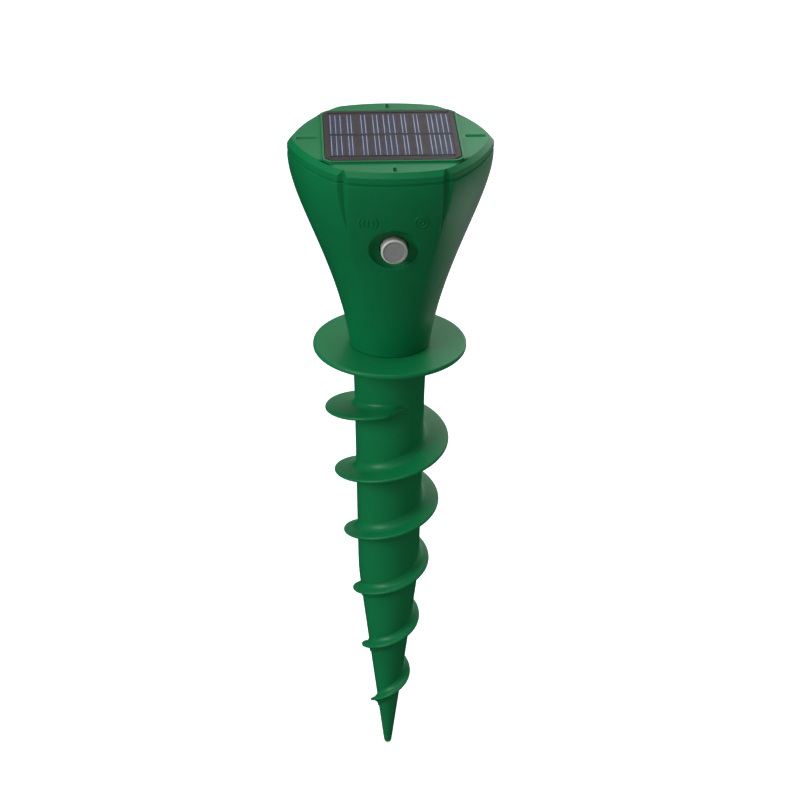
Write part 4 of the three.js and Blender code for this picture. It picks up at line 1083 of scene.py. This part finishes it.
def buildWires(material):
    # Silver wires, each a low bar with a round top, over both rows of cells.
    size = panel
    turn = np.radians(np.linspace(0, 180, 7))
    across = np.concatenate([size["wireHalfWidth"] * np.cos(turn), size["wireHalfWidth"] * np.cos(turn[:1])])
    up = np.concatenate([size["wireRise"] * np.sin(turn), [0]])
    sheets = []
    for node, (near, far) in size["rowEnds"].items():
        low, high = nodeBox(node)
        ends = np.array([low[1] + near, high[1] - far])
        for x in wirePlaces():
            bar = np.empty((4, len(across), 3))
            bar[:, :, 0] = x + across
            bar[:, :, 1] = ends[[0, 0, 1, 1], None]
            bar[:, :, 2] = high[2] + up
            bar[0] = [x, ends[0], high[2]]
            bar[-1] = [x, ends[1], high[2]]
            sheets.append(bar)
    return addPiece("cell_wires", sheets, material, ["solar_cells_front"])


buildGlazing()
buildCells(cellFinish())
silverWire = mouldedFinish(
    "silver_wire", linearColour(176, 180, 192), linearColour(200, 203, 210), linearColour(154, 158, 172),
    0.45, {"scale": 5000, "strength": 0.2, "depth": 0.01},
)
buildWires(silverWire)
panelBacking = mouldedFinish(
    "panel_backing", linearColour(68, 58, 58), linearColour(84, 78, 76), linearColour(60, 51, 51),
    0.4, finePlastic, specular=0.1,
)
print("solar panel made")

# Finishes of the CAD pieces that stay

nodeFinish = {
    "panel_board": panelBacking, "panel_adhesive": foamPad, "neck_o_ring": sealRubber,
    "button_seal": sealRubber, "switch_plunger": whiteMoulding, "latching_switch": blackMoulding,
    "control_board": boardLaminate, "controller_chip": blackMoulding, "step_up_coil": darkFerrite,
    "solar_lead_socket": whiteMoulding, "speaker_lead_socket": whiteMoulding,
    "storage_capacitor": blackMoulding, "battery_holder": blackMoulding, "battery_spring": screwSteel,
    "battery_contact_negative": screwSteel, "battery_contact_positive": screwSteel,
    "rechargeable_cell": cellSleeve, "speaker_gasket": foamPad, "speaker_frame": blackMoulding,
    "speaker_yoke": screwSteel, "speaker_magnet": darkFerrite, "speaker_pole_plate": screwSteel,
    "speaker_diaphragm": conePaper, "voice_coil": windingCopper,
    "solar_lead_red": redInsulation, "solar_lead_black": blackInsulation,
    "speaker_lead_red": redInsulation, "speaker_lead_black": blackInsulation,
}
for name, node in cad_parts.items():
    finish = nodeFinish.get(name, screwSteel if "screw" in name else None)
    if finish is not None:
        node.data.materials.clear()
        node.data.materials.append(finish)
    elif not node.hide_render:
        print("no finish for", name)

# Floor, light and camera

studio = {
    "floorSize": 8.0, "worldLight": 0.4, "aim": (0, 0, 0.15),
    "lights": {  # place, size, power in watts, and whether it lights the head and the flight only
        "key_light": ((-0.98, -0.6, 0.72), (0.6, 0.6), 9.6, False),
        "front_light": ((-0.2, -0.22, 1.15), (0.6, 0.6), 2.8, False),
        "back_light": ((0.37, 0.5, 0.38), (0.7, 0.6), 2.1, False),
        "top_light": ((0.08, 0.55, 1.05), (0.8, 0.8), 4.6, False),
        "low_light": ((-0.05, 0.55, 0.17), (0.3, 0.2), 0.05, False),
        "near_card": ((0.36, 0.14, 0.003), (0.3, 0.24), 0.2, True),
        "far_card": ((0.35, 0.42, 0.003), (0.6, 0.34), 0.2, True),
    },
}


def buildFloor():
    half = studio["floorSize"] / 2
    mesh = bpy.data.meshes.new("floor")
    corners = [(-half, -half, 0), (half, -half, 0), (half, half, 0), (-half, half, 0)]
    mesh.from_pydata(corners, [], [(0, 1, 2, 3)])
    floor = bpy.data.objects.new("floor", mesh)
    bpy.context.scene.collection.objects.link(floor)
    material, _, _, shader = newMaterial("pale_floor")
    shader.inputs["Base Color"].default_value = (0.95, 0.95, 0.95, 1)
    shader.inputs["Roughness"].default_value = 0.9
    shader.inputs["Specular IOR Level"].default_value = 0.0
    shader.inputs["Emission Color"].default_value = (1, 1, 1, 1)
    shader.inputs["Emission Strength"].default_value = 0.35
    mesh.materials.append(material)
    floor.visible_glossy = False
    floor.visible_diffuse = False


def addSoftbox(name, place, size, power, someOnly):
    # An area light that shines at the aim, on everything or on the head and the flight only.
    light = bpy.data.lights.new(name, "AREA")
    light.shape = "RECTANGLE"
    light.size, light.size_y = size
    light.energy = power
    box = bpy.data.objects.new(name, light)
    onFloor = place[2] < 0.01  # a card on the floor shines straight up
    back = np.array([0, 0, -1]) if onFloor else np.array(place) - np.array(studio["aim"])
    back = back / np.linalg.norm(back)
    right = np.cross([0, 1, 0] if onFloor else [0, 0, 1], back)
    right /= np.linalg.norm(right)
    up = np.cross(back, right)
    box.matrix_world = Matrix.LocRotScale(place, Matrix(np.stack([right, up, back], 1).tolist()), None)
    bpy.context.scene.collection.objects.link(box)
    box.visible_camera = False
    if someOnly:
        lit = bpy.data.collections.new(name + "_lights")
        for piece in (*headPieces, flightPiece):
            lit.objects.link(piece)
        box.light_linking.receiver_collection = lit


def buildStudio():
    world = bpy.data.worlds.new("studio")
    world.use_nodes = True
    world.node_tree.nodes["Background"].inputs["Color"].default_value = (1, 1, 1, 1)
    world.node_tree.nodes["Background"].inputs["Strength"].default_value = studio["worldLight"]
    world.cycles_visibility.glossy = False
    bpy.context.scene.world = world
    for name, light in studio["lights"].items():
        addSoftbox(name, *light)
    view = bpy.context.scene.view_settings
    view.view_transform = "Standard"
    view.look = "None"


cameraView = {
    "azimuth": -3.07, "elevation": 28.09, "roll": 0.43, "distance": 0.8163, "lens": 103.44,
    "aimHeight": 0.14906, "aimSide": 0.00375,
}


def buildCamera():
    # The camera looks at the aim from its azimuth and elevation, rolled a little about its line of sight.
    view = cameraView
    around, rise, roll = np.radians([view["azimuth"], view["elevation"], view["roll"]])
    back = np.array([np.sin(around) * np.cos(rise), -np.cos(around) * np.cos(rise), np.sin(rise)])
    right = np.cross(-back, [0, 0, 1])
    right /= np.linalg.norm(right)
    up = np.cross(right, -back)
    aim = np.array([0, 0, view["aimHeight"]]) + right * view["aimSide"]
    sideways = np.cos(roll) * right + np.sin(roll) * up
    upright = -np.sin(roll) * right + np.cos(roll) * up
    lens = bpy.data.cameras.new("camera")
    lens.lens = view["lens"]
    lens.sensor_width = 36
    lens.clip_start = 0.01
    camera = bpy.data.objects.new("camera", lens)
    turn = Matrix(np.stack([sideways, upright, back], 1).tolist())
    camera.matrix_world = Matrix.LocRotScale((aim + back * view["distance"]).tolist(), turn, None)
    bpy.context.scene.collection.objects.link(camera)
    bpy.context.scene.camera = camera


buildFloor()
buildStudio()
buildCamera()
print("floor, light and camera set")
